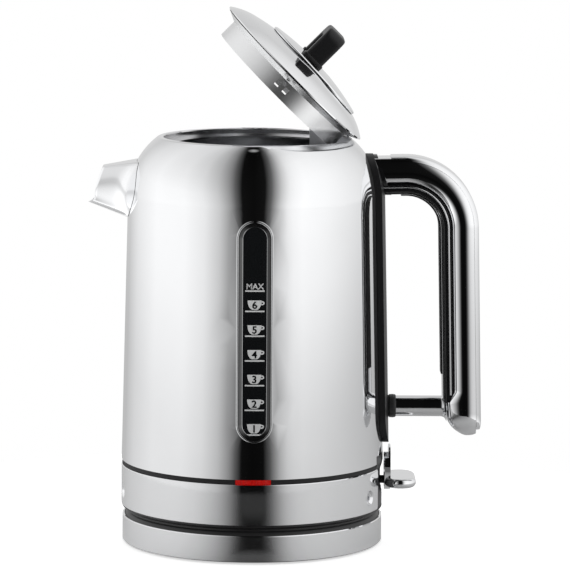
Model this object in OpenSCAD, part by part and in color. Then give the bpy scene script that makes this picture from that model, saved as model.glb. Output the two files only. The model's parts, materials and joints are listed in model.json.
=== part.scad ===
// Electric kettle on a swivelling power base.
// Frame: Z up, +X towards the handle, -X towards the spout, -Y is the side with the water window.
// The origin is on the body axis, at the surface that the base stands on. Millimetres.

/* [Power base] */
// Outside radius of the base trim ring
ring_r = 77; // [74:0.5:80]
// Height of the top edge of the base trim ring above the table
ring_top = 16.4; // [14:0.2:19]
// Sheet thickness of the base trim ring
ring_wall = 1.2; // [0.8:0.1:1.6]
// Height of the rubber feet below the tray
foot_h = 1.6; // [1.2:0.1:2.4]
// Radius of each rubber foot
foot_r = 7; // [5:0.5:9]
// Number of rubber feet
foot_count = 4; // [3:1:6]
// Radius of the contact pedestal
post_r = 19.2; // [17:0.2:21]
// Height of the contact pedestal above the deck
post_h = 8.1; // [6:0.1:10]

/* [Kettle body] */
// Outside radius of the shell at its lower edge
body_r0 = 77.5; // [75:0.5:80]
// Outside radius of the shell where the shoulder starts
body_r1 = 73.9; // [71:0.1:77]
// Height of the straight tapered wall of the shell
wall_h = 155.7; // [130:0.1:180]
// Radius of the rounded shoulder
shoulder_r = 44; // [40:0.5:48]
// Sheet thickness of the shell
shell_t = 1.0; // [0.6:0.1:1.4]
// Radius of the rolled edge round the filling opening
lip_r = 3; // [2:0.25:3.5]
// Height of the trim band round the foot of the kettle
band_h = 24.1; // [18:0.1:30]
// Sheet thickness of the trim band
band_t = 1.1; // [0.8:0.1:1.5]
// Height of the open joint between the base ring and the band
foot_gap = 6; // [4:0.2:8]
// Height of the gasket joint between the band and the shell
seam_h = 3; // [2:0.1:4]
// Half angle of the plastic rear cover, seen from above
rear_half = 17; // [14:0.5:20]

/* [Lid] */
// Lid angle as modelled, 0 is shut
lid_open = 45; // [0:1:70]
// Radius of the filling opening
mouth_r = 55.2; // [50:0.1:57]
// Distance of the opening's axis from the body axis, towards the handle
mouth_x = 2.3; // [0:0.1:4]
// Gap between the shut lid and the opening
lid_gap = 0.9; // [0.5:0.1:1.5]
// Height of the lid's crown above its rim
crown_h = 12.2; // [9:0.1:15]
// Outside radius of the lid's skirt
skirt_r = 46.5; // [43:0.1:48]
// Depth of the lid's skirt below the rim
skirt_h = 14.4; // [11:0.1:18]
// Sheet thickness of the lid
lid_t = 0.8; // [0.5:0.1:1.2]
// Thickness of the knob along X
knob_t = 12.5; // [10:0.5:16]
// Width of the knob along Y
knob_w = 38; // [34:1:56]
// Height of the knob's top above the lid rim
knob_top = 35; // [31:0.5:42]

/* [Handle] */
// Distance from the body wall to the outside of the handle
handle_reach = 58.3; // [52:0.1:66]
// Outside radius of the handle's bend
bend_r = 43; // [38:0.5:50]
// Height of the shell's top above the top of the handle
handle_drop = 10.8; // [6:0.1:20]
// Thickness of the polished handle bar, from its back to its inner side
bar_t = 18; // [15:0.5:22]
// Width of the polished handle bar
bar_w = 24; // [20:0.5:30]
// Radius of the lower strut
strut_r = 5.7; // [4:0.1:7]
// Height of the lower strut's axis above the lower edge of the shell
strut_rise = 31.1; // [27:0.1:46]
// Half width of the handle's mounting plate
plate_w = 19; // [16:0.5:22]
// Thickness of the handle's mounting plate
plate_t = 3.6; // [3:0.1:6]

/* [Water window] */
// Distance of the window's middle from the XZ plane's vertical axis
win_x = 1; // [-4:0.5:6]
// Height of the window's lower end above the lower edge of the shell
win_rise = 22.8; // [16:0.1:40]
// Distance of the window's upper end below the start of the shoulder
win_drop = 5.9; // [4:0.1:26]
// Half width of the window's frame
win_w = 11.3; // [9:0.1:15]

/* [Spout] */
// Distance of the spout's upper edge below the shell's top
spout_drop = 14.4; // [10:0.1:18]
// Height of the spout where it meets the body
spout_h = 33.4; // [28:0.1:38]
// Distance of the pouring lip from the body axis
spout_reach = 97.2; // [90:0.1:104]

/* [Switch] */
// Length of the switch paddle, from the tongue to its tip
paddle_l = 18.6; // [14:0.2:24]
// Half width of the switch paddle
paddle_w = 18.8; // [14:0.2:24]
// Height of the switch tongue's upper end above the switch's pivot
tongue_rise = 19.8; // [15:0.1:22.6]

/* [Hidden] */
$fn = 64;

chrome = [0.80, 0.81, 0.83];
steel = [0.70, 0.71, 0.73];
black = [0.07, 0.07, 0.08];
rubber = [0.14, 0.14, 0.15];
brass = [0.80, 0.62, 0.28];
smoke = [0.22, 0.24, 0.27];

seat = 0.1;        // pieces of one body that rest against each other
run_gap = 0.3;     // pieces that move past each other
far = 400;         // longer than anything in the model

// --- Levels of the stack, from the table up
deck_rise = 2.2;
deck_top = ring_top + deck_rise;
chassis_z = deck_top + run_gap;
band_z = ring_top + foot_gap;
seam_z = band_z + band_h;
shell_z = seam_z + seam_h;
shoulder_z = shell_z + wall_h;
taper = (body_r0 - body_r1) / wall_h;
lean = atan(taper);
shoulder_x = body_r1 - shoulder_r;
crest_z = shoulder_z + 35.3;
band_r = body_r0 + 0.1;

// Outside radius of the shell at a height
function body_r(z) = z < shoulder_z ? body_r0 - (z - shell_z) * taper
    : shoulder_x + sqrt(pow(shoulder_r, 2) - pow(z - shoulder_z, 2));

// --- Opening, ledge and lid hinge
ledge_z = crest_z - 4.2;
ledge_in = skirt_r + 1.1;
neck_t = 1.0;
rim_r = mouth_r - lid_gap;
rim_z = crest_z - 0.5;
handle_top = crest_z - handle_drop;
strut_z = shell_z + strut_rise;
win_z0 = shell_z + win_rise;
win_z1 = shoulder_z - win_drop;
spout_top = crest_z - spout_drop;
spout_low = spout_top - spout_h;
hinge_x = mouth_x + 56.2;
hinge_z = rim_z - 7;
pin_r = 1.5;
knuckle_r = 2.2;
arm_w = 9;
arm_t = 1.2;
cheek_in = arm_w + 0.8;
cheek_t = 1.6;
notch_w = cheek_in + cheek_t + 0.8;

// ---------------------------------------------------------------- shared shapes

// Half section of the shell, grown by off, between two heights
module body_section(off, z0, z1) {
    drop = 24;
    intersection() {
        union() {
            polygon([[0, shell_z - drop], [body_r0 + drop * taper + off, shell_z - drop],
                [body_r1 + off, shoulder_z], [0, shoulder_z]]);
            translate([shoulder_x, shoulder_z]) circle(r = shoulder_r + off);
            translate([0, shoulder_z]) square([shoulder_x, shoulder_r + off]);
        }
        translate([0, z0]) square([far, z1 - z0]);
    }
}

// What lies outside the rolled edge of the shell, to be cut from its section
module lip_waste() {
    rise = crest_z - lip_r - shoulder_z;
    t = asin(rise / (shoulder_r - lip_r));
    c = [shoulder_x + (shoulder_r - lip_r) * cos(t), shoulder_z + rise];
    wide = 4 * lip_r;
    difference() {
        polygon([c, c + wide * [cos(t), sin(t)], c + wide * [cos(t), 1], c + [0, wide]]);
        translate(c) circle(r = lip_r);
    }
}

module body_solid(off, z0 = shell_z, z1 = crest_z) {
    rotate_extrude() body_section(off, z0, z1);
}

// A layer that follows the tapered wall, between two offsets and two heights
module wall_layer(in, out, z0, z1) {
    rotate_extrude() polygon([[body_r(z0) + in, z0], [body_r(z0) + out, z0],
        [body_r(z1) + out, z1], [body_r(z1) + in, z1]]);
}

// A ring of rectangular section
module ring(r_in, r_out, z0, z1) {
    rotate_extrude() translate([r_in, z0]) square([r_out - r_in, z1 - z0]);
}

// Part of a turned section, from angle a0 to angle a1
module sector(a0, a1) {
    rotate([0, 0, a0]) rotate_extrude(angle = a1 - a0) children();
}

// Outline with parallel sides and round ends, along Y of the sketch
module stadium(half_w, y0, y1) {
    translate([0, y0 + half_w]) circle(r = half_w);
    translate([0, y1 - half_w]) circle(r = half_w);
    translate([-half_w, y0 + half_w]) square([2 * half_w, y1 - y0 - 2 * half_w]);
}

// Stands a sketch up in the XZ plane and extrudes it along Y
module along_y(y0, y1) {
    translate([0, y1, 0]) rotate([90, 0, 0]) linear_extrude(y1 - y0) children();
}

// Stands a sketch up in the YZ plane and extrudes it along X
module along_x(x0, x1) {
    translate([x0, 0, 0]) rotate([90, 0, 90]) linear_extrude(x1 - x0) children();
}

module rod_x(r, x0, x1, z, y = 0) {
    translate([x0, y, z]) rotate([0, 90, 0]) cylinder(r = r, h = x1 - x0);
}

module rod_y(r, y0, y1, x, z) {
    translate([x, y1, z]) rotate([90, 0, 0]) cylinder(r = r, h = y1 - y0);
}

// ---------------------------------------------------------------- power base

deck_r = ring_r - ring_wall - 0.2;
tray_z = foot_h;
tray_t = 2.2;
foot_pitch = ring_r - 17;
deck_t = 2.2;
deck_edge = 1.2;
post_top = deck_top + post_h;
flange_r = post_r + 4;
flange_z = deck_top - deck_t - 1.4;
screw_pitch = 46;
screw_count = 3;
slot_mid = [8.4, 13.4];   // middle radii of the two annular contact slots
slot_half = 0.8;
pin_hole_r = 2.4;
gland_r = 4.2;
gland_z = 9.5;

module base_ring() {
    edge = 0.5;
    low = 1.0;
    color(chrome) difference() {
        rotate_extrude() polygon([[ring_r - ring_wall, low], [ring_r - edge, low], [ring_r, low + edge],
            [ring_r, ring_top - edge], [ring_r - edge, ring_top], [ring_r - ring_wall, ring_top]]);
        rotate([0, 0, 90]) rod_x(gland_r + seat, ring_r - 6, ring_r + 6, gland_z);
    }
}

module base_deck() {
    skirt_t = 2;
    floor_z = tray_z + tray_t + seat;
    color(black) difference() {
        union() {
            rotate_extrude() polygon([[post_r + 0.4, deck_top], [post_r + 0.4, deck_top - deck_t],
                [deck_r - skirt_t, deck_top - deck_t - deck_edge], [deck_r - skirt_t, floor_z],
                [deck_r, floor_z], [deck_r, ring_top - 0.4], [deck_r - deck_edge, deck_top - 0.6],
                [deck_r - deck_edge - 0.6, deck_top]]);
            for (i = [0 : screw_count - 1]) rotate([0, 0, i * 360 / screw_count])
                translate([screw_pitch, 0, floor_z]) cylinder(r = 4, h = deck_top - deck_t - floor_z);
        }
        for (i = [0 : screw_count - 1]) rotate([0, 0, i * 360 / screw_count])
            translate([screw_pitch, 0, floor_z - 1]) cylinder(r = 1.6, h = 9);
        rotate([0, 0, 90]) rod_x(gland_r + seat, deck_r - 6, deck_r + 6, gland_z);
        for (r = [30, 58]) ring(r, r + 1.6, deck_top - 0.6, deck_top + 1);
    }
}

module base_tray() {
    color(black) difference() {
        union() {
            translate([0, 0, tray_z]) cylinder(r = deck_r, h = tray_t);
            ring(28, 30, tray_z + tray_t, tray_z + tray_t + 5);
        }
        at_feet() translate([0, 0, tray_z - 1]) cylinder(r = foot_r + seat, h = 2);
        for (i = [0 : screw_count - 1]) rotate([0, 0, i * 360 / screw_count])
            translate([screw_pitch, 0, tray_z - 1]) {
                cylinder(r = 1.9, h = tray_t + 2);
                cylinder(r = 3.6, h = 2.2);
            }
        for (a = [0 : 30 : 330]) rotate([0, 0, a]) translate([20, -1, tray_z - 1]) cube([7, 2, tray_t + 2]);
        ring(33, 41, tray_z - 1, tray_z + 0.9);
    }
}

// One foot under the contact post, the others on a circle
module at_feet() {
    children();
    for (i = [0 : foot_count - 1]) rotate([0, 0, 45 + i * 360 / foot_count])
        translate([foot_pitch, 0, 0]) children();
}

module base_feet() {
    top = tray_z + 1 - seat;
    color(rubber) at_feet() rotate_extrude()
        polygon([[0, 0], [foot_r - 0.8, 0], [foot_r, 0.8], [foot_r, top], [0, top]]);
}

module base_screws() {
    color(steel) for (i = [0 : screw_count - 1]) rotate([0, 0, i * 360 / screw_count])
        translate([screw_pitch, 0, tray_z]) difference() {
            union() {
                translate([0, 0, 0.1]) cylinder(r = 3.3, h = 1);
                cylinder(r = 1.5, h = tray_t + 6);
            }
            translate([-2.4, -0.4, -0.1]) cube([4.8, 0.8, 0.8]);
            translate([-0.4, -2.4, -0.1]) cube([0.8, 4.8, 0.8]);
        }
}

module cord_gland() {
    color(rubber) rotate([0, 0, 90]) difference() {
        union() {
            rod_x(gland_r, deck_r - 3.2, ring_r + 0.6, gland_z);
            rod_x(gland_r + 1.2, deck_r - 4.6, deck_r - 2.5, gland_z);
        }
        rod_x(2.6, deck_r - 10, ring_r + 4, gland_z);
    }
}

module base_connector() {
    color(black) difference() {
        union() {
            rotate_extrude() polygon([[0, flange_z - 6], [post_r, flange_z - 6], [post_r, post_top - 1.2],
                [post_r - 1.2, post_top], [0, post_top]]);
            ring(post_r - 1, flange_r, flange_z, flange_z + 1.3);
        }
        translate([0, 0, flange_z - 2]) cylinder(r = pin_hole_r, h = far);
        for (r = slot_mid) ring(r - slot_half, r + slot_half, flange_z, post_top + 1);
    }
}

module base_contacts() {
    color(brass) {
        translate([0, 0, flange_z - 2 + seat]) cylinder(r = pin_hole_r - seat, h = 2);
        for (r = slot_mid) ring(r - slot_half + seat, r + slot_half - seat, flange_z + seat, flange_z + 2.2);
    }
}

// ---------------------------------------------------------------- kettle foot

chassis_r = band_r - band_t - seat;
chassis_t = 2;
chassis_foot_r = chassis_r - 2.2;
floor_z = shell_z + 2;
floor_t = 2;
floor_r = body_r(floor_z + floor_t) - shell_t - seat;
spreader_t = 3;
element_tube = 3.4;
element_z = floor_z - seat - spreader_t - seat - element_tube;
element_r = 42;
socket_r = post_r + 0.5;
socket_wall = 4;
socket_top = post_top + 1;
band_end = rear_half + 0.3;
tab_half = rear_half + 2;
tab_top = shell_z + 4.5;
dimple_r = 4.6;
dimple_z = band_z + 9;
dimple_angles = [-27, 27, 169, -169];
light_half = 7.6;
light_mid = -90 + 0.4;
switch_pin_x = body_r0 - 7.5;
switch_z = ring_top + 18.4;
stem_half = 4.6;
tube_az = 27;
tube_r = 4;
tube_mid = min(body_r1, body_r0 - 3.6) - shell_t - tube_r - 2.9;

module chassis() {
    top = seam_z - seat;
    color(black) difference() {
        union() {
            rotate_extrude() polygon([[socket_r + socket_wall + seat, chassis_z],
                [chassis_foot_r, chassis_z], [chassis_foot_r, chassis_z + 1], [chassis_r + 0.7, band_z - 0.8],
                [chassis_r + 0.7, band_z - seat], [chassis_r, band_z - seat], [chassis_r, top],
                [chassis_r - chassis_t, top], [chassis_r - chassis_t, band_z],
                [chassis_foot_r - chassis_t, chassis_z + chassis_t],
                [socket_r + socket_wall + seat, chassis_z + chassis_t]]);
            ring(58, 60, chassis_z + chassis_t, element_z - 6);
        }
        sector(-tab_half, tab_half)
            translate([chassis_r - chassis_t - 1, band_z - 0.4]) square([10, band_h + 10]);
        for (a = dimple_angles) rotate([0, 0, a]) dimple_cone(1);
    }
}

// Cone of a pressed screw dimple, grown by grow
module dimple_cone(grow) {
    deep = 2.4;
    translate([band_r - deep - grow, 0, dimple_z]) rotate([0, 90, 0])
        cylinder(r1 = 2.4 + grow, r2 = dimple_r + grow * 1.4 + 0.4, h = deep + grow + 0.6);
}

module front_band() {
    edge = 0.4;
    corner = 3;
    color(chrome) difference() {
        union() {
            sector(band_end, 360 - band_end) polygon([[band_r - band_t, band_z], [band_r - edge, band_z],
                [band_r, band_z + edge], [band_r, seam_z - edge], [band_r - edge, seam_z],
                [band_r - band_t, seam_z]]);
            intersection() {
                for (a = dimple_angles) rotate([0, 0, a]) dimple_cone(0.7);
                ring(band_r - 5, band_r - 0.05, band_z, seam_z);
            }
        }
        for (a = dimple_angles) rotate([0, 0, a]) {
            dimple_cone(0);
            rod_x(1.7, band_r - 8, band_r + 2, dimple_z);
        }
        for (s = [-1, 1], z = [band_z, seam_z]) rotate([0, 0, s * band_end]) band_corner(s, z, corner);
    }
}

// What is cut off to round one corner of the band's end
module band_corner(s, z, r) {
    up = z > band_z ? -1 : 1;
    along_x(band_r - 4, band_r + 4) difference() {
        translate([s > 0 ? -1 : -r, up > 0 ? z - 1 : z - r]) square([r + 1, r + 1]);
        translate([s * (r - 0.2), z + up * (r - 0.2)]) circle(r = r);
    }
}

module band_screws() {
    color(steel) for (a = dimple_angles) rotate([0, 0, a]) {
        rod_x(1.5, band_r - 9, band_r - 2.5, dimple_z);
        difference() {
            rod_x(2.3, band_r - 2.3, band_r - 1.1, dimple_z);
            rod_x(1.1, band_r - 1.8, band_r, dimple_z);
        }
    }
}

module rear_cover() {
    r_in = chassis_r - 1.7;
    color(black) difference() {
        union() {
            sector(-rear_half, rear_half) polygon([[r_in, band_z + seat], [band_r - 0.6, band_z + seat],
                [band_r - 0.6, band_z + 9], [band_r - 1.7, band_z + 12], [band_r - 1.7, seam_z - 3],
                [band_r - 0.9, seam_z], [band_r - 1.3, seam_z + 1.2], [r_in, seam_z + 1.2]]);
            sector(-tab_half, tab_half) polygon([[r_in + 0.4, seam_z + seat], [band_r - 0.7, seam_z + seat],
                [body_r0, shell_z], [body_r(tab_top), tab_top], [body_r(tab_top) - shell_t, tab_top],
                [body_r0 - shell_t, shell_z], [r_in + 0.4, shell_z]]);
        }
        along_x(chassis_r - 14, far) translate([-stem_half - 1, switch_z - 6]) square([2 * stem_half + 2, 10]);
    }
}

module seam_gasket() {
    color(rubber) difference() {
        sector(tab_half + 0.3, 360 - tab_half - 0.3)
            polygon([[chassis_r - 1.8, seam_z + seat], [band_r - 0.7, seam_z + seat],
                [band_r - 0.5, seam_z + 0.5], [band_r - 0.7, shell_z - seat], [chassis_r - 1.8, shell_z - seat]]);
        sector(light_mid - light_half - 0.2, light_mid + light_half + 0.2)
            translate([chassis_r - 4, seam_z - 1]) square([10, seam_h + 2]);
    }
}

module pilot_lens() {
    color([0.85, 0.05, 0.04]) sector(light_mid - light_half, light_mid + light_half)
        polygon([[chassis_r - 1.8, seam_z + seat], [band_r - 0.6, seam_z + seat], [band_r - 0.1, seam_z + 0.6],
            [band_r - 0.1, shell_z - 0.7], [band_r - 0.6, shell_z - seat], [chassis_r - 1.8, shell_z - seat]]);
}

module floor_plate() {
    color(steel) difference() {
        translate([0, 0, floor_z]) cylinder(r = floor_r, h = floor_t);
        rotate([0, 0, tube_az]) translate([tube_mid, 0, floor_z - 1]) cylinder(r = tube_r + seat, h = floor_t + 2);
    }
}

module heat_spreader() {
    color([0.75, 0.76, 0.78]) translate([0, 0, floor_z - seat - spreader_t])
        cylinder(r = element_r + 12, h = spreader_t);
}

module heating_element() {
    open = 40;
    color(steel) {
        sector(180 + open / 2, 540 - open / 2) translate([element_r, element_z]) circle(r = element_tube);
        for (s = [-1, 1]) rotate([0, 0, 180 + s * open / 2]) translate([element_r, 0, element_z - 6])
            rotate([0, 0, 0]) cylinder(r = 1.6, h = 6);
    }
}

module kettle_connector() {
    color(black) difference() {
        rotate_extrude() polygon([[socket_r, chassis_z], [socket_r + socket_wall, chassis_z],
            [socket_r + socket_wall, socket_top + 2], [0, socket_top + 2], [0, socket_top], [socket_r, socket_top]]);
        translate([0, 0, socket_top - 1]) cylinder(r = 1.6 + seat, h = 4);
        for (r = slot_mid) ring(r - 0.4 - seat, r + 0.4 + seat, socket_top - 1, socket_top + 1.2);
    }
}

module connector_pins() {
    low = deck_top + 1.5;
    color(brass) {
        translate([0, 0, low]) cylinder(r = 1.6, h = socket_top + 3 - low);
        for (r = slot_mid) ring(r - 0.4, r + 0.4, low, socket_top + 1.1);
    }
}

module control_unit() {
    z0 = socket_top + 2 + seat;
    z1 = element_z - element_tube - 0.4;
    color(black) difference() {
        union() {
            translate([0, 0, z0]) cylinder(r = 24, h = z1 - z0);
            translate([0, -16, z0]) cube([44, 32, z1 - z0]);
        }
        translate([0, 0, z0 - 1]) cylinder(r = 2, h = 3);
        translate([36, -6, z0 - 1]) cube([20, 12, far]);
    }
}

module steam_tube() {
    z0 = element_z - 4;
    z1 = shoulder_z - 4;
    color(steel) rotate([0, 0, tube_az]) translate([tube_mid, 0, 0]) ring(tube_r - 0.7, tube_r, z0, z1);
}

// ---------------------------------------------------------------- vessel

strainer_r = 13;
strainer_z = spout_low + 16.3;

module body_shell() {
    color(chrome) difference() {
        rotate_extrude() difference() {
            body_section(0, shell_z, crest_z);
            body_section(-shell_t, shell_z - 1, crest_z - shell_t);
            lip_waste();
        }
        translate([mouth_x, 0, 0]) mouth_waste(shell_t);
        along_y(-far, -40) translate([win_x, 0]) stadium(win_w - 1, win_z0 + 1, win_z1 - 1);
        rod_x(strainer_r, -far, -50, strainer_z);
        sector(-tab_half - 0.3, tab_half + 0.3) translate([body_r0 - 6, shell_z - 1])
            square([12, tab_top - shell_z + 1.3]);
        for (z = screw_zs) rod_x(screw_r + 0.2, 50, far, z);
    }
}

// What the filling opening removes, with a rounded upper edge of radius r
module mouth_waste(r) {
    z = crest_z - r + 0.08;
    rotate_extrude() difference() {
        translate([0, shoulder_z]) square([mouth_r + r, 80]);
        translate([mouth_r, shoulder_z - 1]) square([r + 1, z - shoulder_z + 1]);
        translate([mouth_r + r, z]) circle(r = r);
    }
}

module neck_ring() {
    color(chrome) difference() {
        intersection() {
            translate([mouth_x, 0, ledge_z - neck_t])
                cylinder(r = mouth_r + neck_t, h = crest_z - ledge_z);
            body_solid(-shell_t - seat, shell_z, crest_z - shell_t - seat);
        }
        translate([mouth_x, 0, ledge_z]) cylinder(r = mouth_r, h = 60);
        translate([mouth_x, 0, ledge_z - 10]) cylinder(r = ledge_in, h = 60);
        along_x(mouth_x + 40, far) translate([-notch_w, ledge_z - 10]) square([2 * notch_w, 30]);
    }
}

module spout_strainer() {
    r = body_r(strainer_z) - shell_t - seat;
    pitch = 4.2;
    color(steel) difference() {
        intersection() {
            wall_layer(-shell_t - seat - 0.6, -shell_t - seat, spout_low - 2, shoulder_z - 0.5);
            rod_x(strainer_r + 2.5, -far, -50, strainer_z);
        }
        for (i = [-3 : 3], j = [-3 : 0]) if (pow(i, 2) + pow(j, 2) < 11)
            rod_x(1.3, -far, -50, strainer_z + j * pitch, i * pitch);
    }
}

// --- Spout: a beak lofted from a seam on the body to a slanted mouth
lip_bottom = [-spout_reach, spout_low + 8.7];
lip_top = [8.8 - spout_reach, spout_top - 3.3];
spout_root_w = 14;
spout_lip_w = 6.5;
flare_w = 11;
spout_t = 1.0;
spout_steps = 9;
edge_a = 40;       // where the flat top meets the side, as an angle of the section
side_n = 11;

// Height fraction and width fraction of the points round one section, from the top middle
function side_angles() = [for (i = [0 : side_n]) edge_a + (180 - edge_a) * i / side_n];
function half_ring() = concat([[1, 0], [1, 0.45 * sin(edge_a)]],
    [for (a = side_angles()) [(1 + cos(a)) / (1 + cos(edge_a)), sin(a)]]);
function full_ring() = let (h = half_ring(), n = len(h))
    concat(h, [for (i = [n - 2 : -1 : 1]) [h[i][0], -h[i][1]]]);

// A point on the body wall at a height and a sideways distance
function on_body(y, z, gap) = [-sqrt(pow(body_r(z) + gap, 2) - pow(y, 2)), y, z];

// A point of the spout: p is the ring point, s runs from the body (0) to the mouth (1)
function spout_point(p, s, t, gap) = let (
    h = p[0],
    z0 = spout_low + t + (spout_top - spout_low - 2 * t) * h,
    y_plain = (spout_root_w - t) * p[1],
    y_seam = y_plain + (t > 0 ? 0 : sign(p[1]) * flare_w * sin(180 * (1 - h))),
    root = on_body(y_plain, z0, gap),
    seam = on_body(y_seam, z0, gap),
    mh = t / 25 + h * (1 - 2 * t / 25),
    mouth = [lip_bottom[0] + (lip_top[0] - lip_bottom[0]) * mh, (spout_lip_w - t) * p[1],
        lip_bottom[1] + (lip_top[1] - lip_bottom[1]) * mh],
    fade = exp(-s * 11) * (1 - s)
) root * (1 - s) + mouth * s + fade * (seam - root);

// The seam's own ring points, between the inner and the outer wall
function seam_point(p, k, gap) = let (
    a = spout_point(p, 0, spout_t, gap), b = spout_point(p, 0, 0, gap),
    m = a * (1 - k) + b * k
) on_body(m[1], m[2], gap);

// Closes a loop of rings into one solid
module ring_loop(rings) {
    m = len(rings);
    n = len(rings[0]);
    points = [for (r = rings) for (p = r) p];
    faces = [for (j = [0 : m - 1]) for (i = [0 : n - 1]) let (
        a = j * n + i, b = j * n + (i + 1) % n, k = (j + 1) % m,
        c = k * n + (i + 1) % n, d = k * n + i) each [[a, b, c], [a, c, d]]];
    polyhedron(points, faces, convexity = 6);
}

module spout() {
    q = full_ring();
    gap = 0.15;
    steps = [for (i = [0 : spout_steps]) pow(i / spout_steps, 1.6)];
    outer = [for (s = steps) [for (p = q) spout_point(p, s, 0, gap)]];
    inner = [for (i = [spout_steps : -1 : 0]) [for (p = q) spout_point(p, steps[i], spout_t, gap)]];
    seam = [for (k = [0.34, 0.67]) [for (p = q) seam_point(p, k, gap)]];
    color(chrome) ring_loop(concat(outer, inner, seam));
}

// --- Water window, let into the front of the shell
win_lip = 1.1;
win_deep = 2.2;
gasket_w = win_w - 3;
lens_w = win_w - 3.4;

// A layer of the wall inside one stadium outline and outside another
module window_layer(w_out, w_in, in, out) {
    difference() {
        intersection() {
            wall_layer(in, out, win_z0 - 6, win_z1 + 4);
            along_y(-far, -40) translate([win_x, 0]) stadium(w_out, win_z0 + win_w - w_out, win_z1 - win_w + w_out);
        }
        if (w_in > 0) along_y(-far, -40) translate([win_x, 0])
            stadium(w_in, win_z0 + win_w - w_in, win_z1 - win_w + w_in);
    }
}

module window_bezel() {
    color(chrome) {
        window_layer(win_w, win_w - 1, seat, win_lip);
        window_layer(win_w - 0.9, win_w - 1.4, seat, 0.3);
        window_layer(win_w - 1.3, win_w - 2.9, -win_deep, 0.6);
    }
}

module window_gasket() {
    color(rubber) window_layer(gasket_w, lens_w + seat, -win_deep, 0.4);
}

module window_lens() {
    color(smoke) window_layer(lens_w, 0, -win_deep, 0.2);
}

module window_frame() {
    color(black) {
        window_layer(win_w + 1.6, lens_w - 0.5, -win_deep - 2, -win_deep - seat);
        window_layer(win_w + 1.6, win_w - 0.6, -win_deep - seat, -shell_t - seat);
    }
}

// ---------------------------------------------------------------- handle

// The handle's own frame leans with the body wall: P is outwards, Q is up along the wall
ref_z = shell_z + 90.5;
bend_p = handle_reach - bend_r;
bend_q = handle_top - ref_z - bend_r;
leg_low = handle_top - bend_r - strut_z - 24.1;
leg_tip = leg_low + 44;
back_t = 2.4;
core_t = 3.2;
inner_t = 0.7;
pad_t = 1.1;
seam_t = 0.15;
bar_out = bend_r;
bar_in = bend_r - bar_t;
core_out = bar_in - seam_t;
core_in = core_out - core_t;
inner_out = core_in - seam_t;
inner_in = inner_out - inner_t;
pad_out = inner_in - seam_t;
pad_in = pad_out - pad_t;
screw_r = 2;
screw_zs = [strut_z, handle_top - 12.4];
slant = 19.6;
slant_x = body_r1 - 1.2;
plate_z0 = shell_z + 9.5;
plate_z1 = handle_top + 1.1;

module handle_frame() {
    translate([body_r(ref_z), 0, ref_z]) rotate([0, -lean, 0]) translate([bend_p, 0, bend_q]) children();
}

// Sweeps a section along the handle: top leg, bend and upright leg. Sketch X is the bend radius.
// The top leg ends at the slanted joint with the collar, slant_gap away from it.
module handle_sweep(top_leg, leg, slant_gap = -1) {
    handle_frame() {
        rotate([90, 0, 0]) rotate_extrude(angle = 90) children();
        translate([0, 0, -leg]) linear_extrude(leg) children();
    }
    intersection() {
        handle_frame() rotate([0, -90, 0]) linear_extrude(top_leg) children();
        if (slant_gap >= 0) beyond_slant(slant_gap);
    }
}

// Full section of the polished bar, between two bend radii
module bar_section(r0, r1) {
    r = bar_t / 2;
    mid = bend_r - r;
    side = bar_w / 2 - r;
    intersection() {
        union() {
            for (s = [-1, 1]) translate([mid, s * side]) circle(r = r);
            translate([mid - r, -side]) square([2 * r, 2 * side]);
        }
        translate([r0, -far]) square([r1 - r0, 2 * far]);
    }
}

module strip_section(r0, r1, half_w) {
    translate([r0, -half_w]) square([r1 - r0, 2 * half_w]);
}

// Everything outwards of the slanted joint between the collar and the bar, moved by off
module beyond_slant(off) {
    translate([slant_x + off, 0, handle_top]) rotate([0, -slant, 0]) translate([0, -far / 2, -60])
        cube([far, far, 120]);
}

// What the lower end takes off the bar and its layers: below a round heel and a slope up to the strut
module bar_end_waste() {
    heel = 9;
    toe = 48;
    c = [body_r(ref_z) + handle_reach + 1.4 - heel, plate_z0 + 2.4 + heel];
    t = c - (heel - 0.04) * [sin(toe), cos(toe)];
    e = t + 12.7 * [-cos(toe), sin(toe)];
    along_y(-far / 2, far / 2) difference() {
        polygon([c, t, e, e + [-20, 8], [e[0] - 20, 0], [far, 0], [far, c[1]]]);
        translate(c) circle(r = heel);
    }
}

module handle_bar() {
    color(chrome) difference() {
        handle_sweep(24, leg_tip, seat) bar_section(bar_in, bar_out - back_t - seam_t);
        bar_end_waste();
        rod_x(screw_r + 0.2, 60, slant_x + 7, screw_zs[1]);
    }
}

module handle_back_strip() {
    half_w = 9.2;
    color(chrome) difference() {
        handle_sweep(1, leg_tip) intersection() {
            bar_section(bar_out - back_t, bar_out);
            strip_section(0, far, half_w);
        }
        bar_end_waste();
    }
}

module inner_strip(top_leg, leg, r0, r1, half_w) {
    difference() {
        handle_sweep(top_leg, leg, seat) strip_section(r0, r1, half_w);
        bar_end_waste();
        rod_x(strut_r + 0.2, 60, far, strut_z);
    }
}

module handle_core() {
    color(black) inner_strip(24, leg_tip, core_in, core_out, bar_w / 2 - 2.5);
}

module handle_inner_strip() {
    color(chrome) inner_strip(24, leg_tip, inner_in, inner_out, bar_w / 2 - 4);
}

module grip_pad() {
    color(rubber) inner_strip(2.5, handle_top - bend_r - strut_z - 19.4, pad_in, pad_out, bar_w / 2 - 5);
}

module handle_plate() {
    color(black) difference() {
        intersection() {
            rotate_extrude() difference() {
                body_section(plate_t, plate_z0 - 1, crest_z);
                body_section(seat, plate_z0 - 2, crest_z + 1);
            }
            along_x(20, far) stadium(plate_w, plate_z0, plate_z1);
        }
        for (z = screw_zs) rod_x(screw_r + 0.2, 50, far, z);
    }
}

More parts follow.
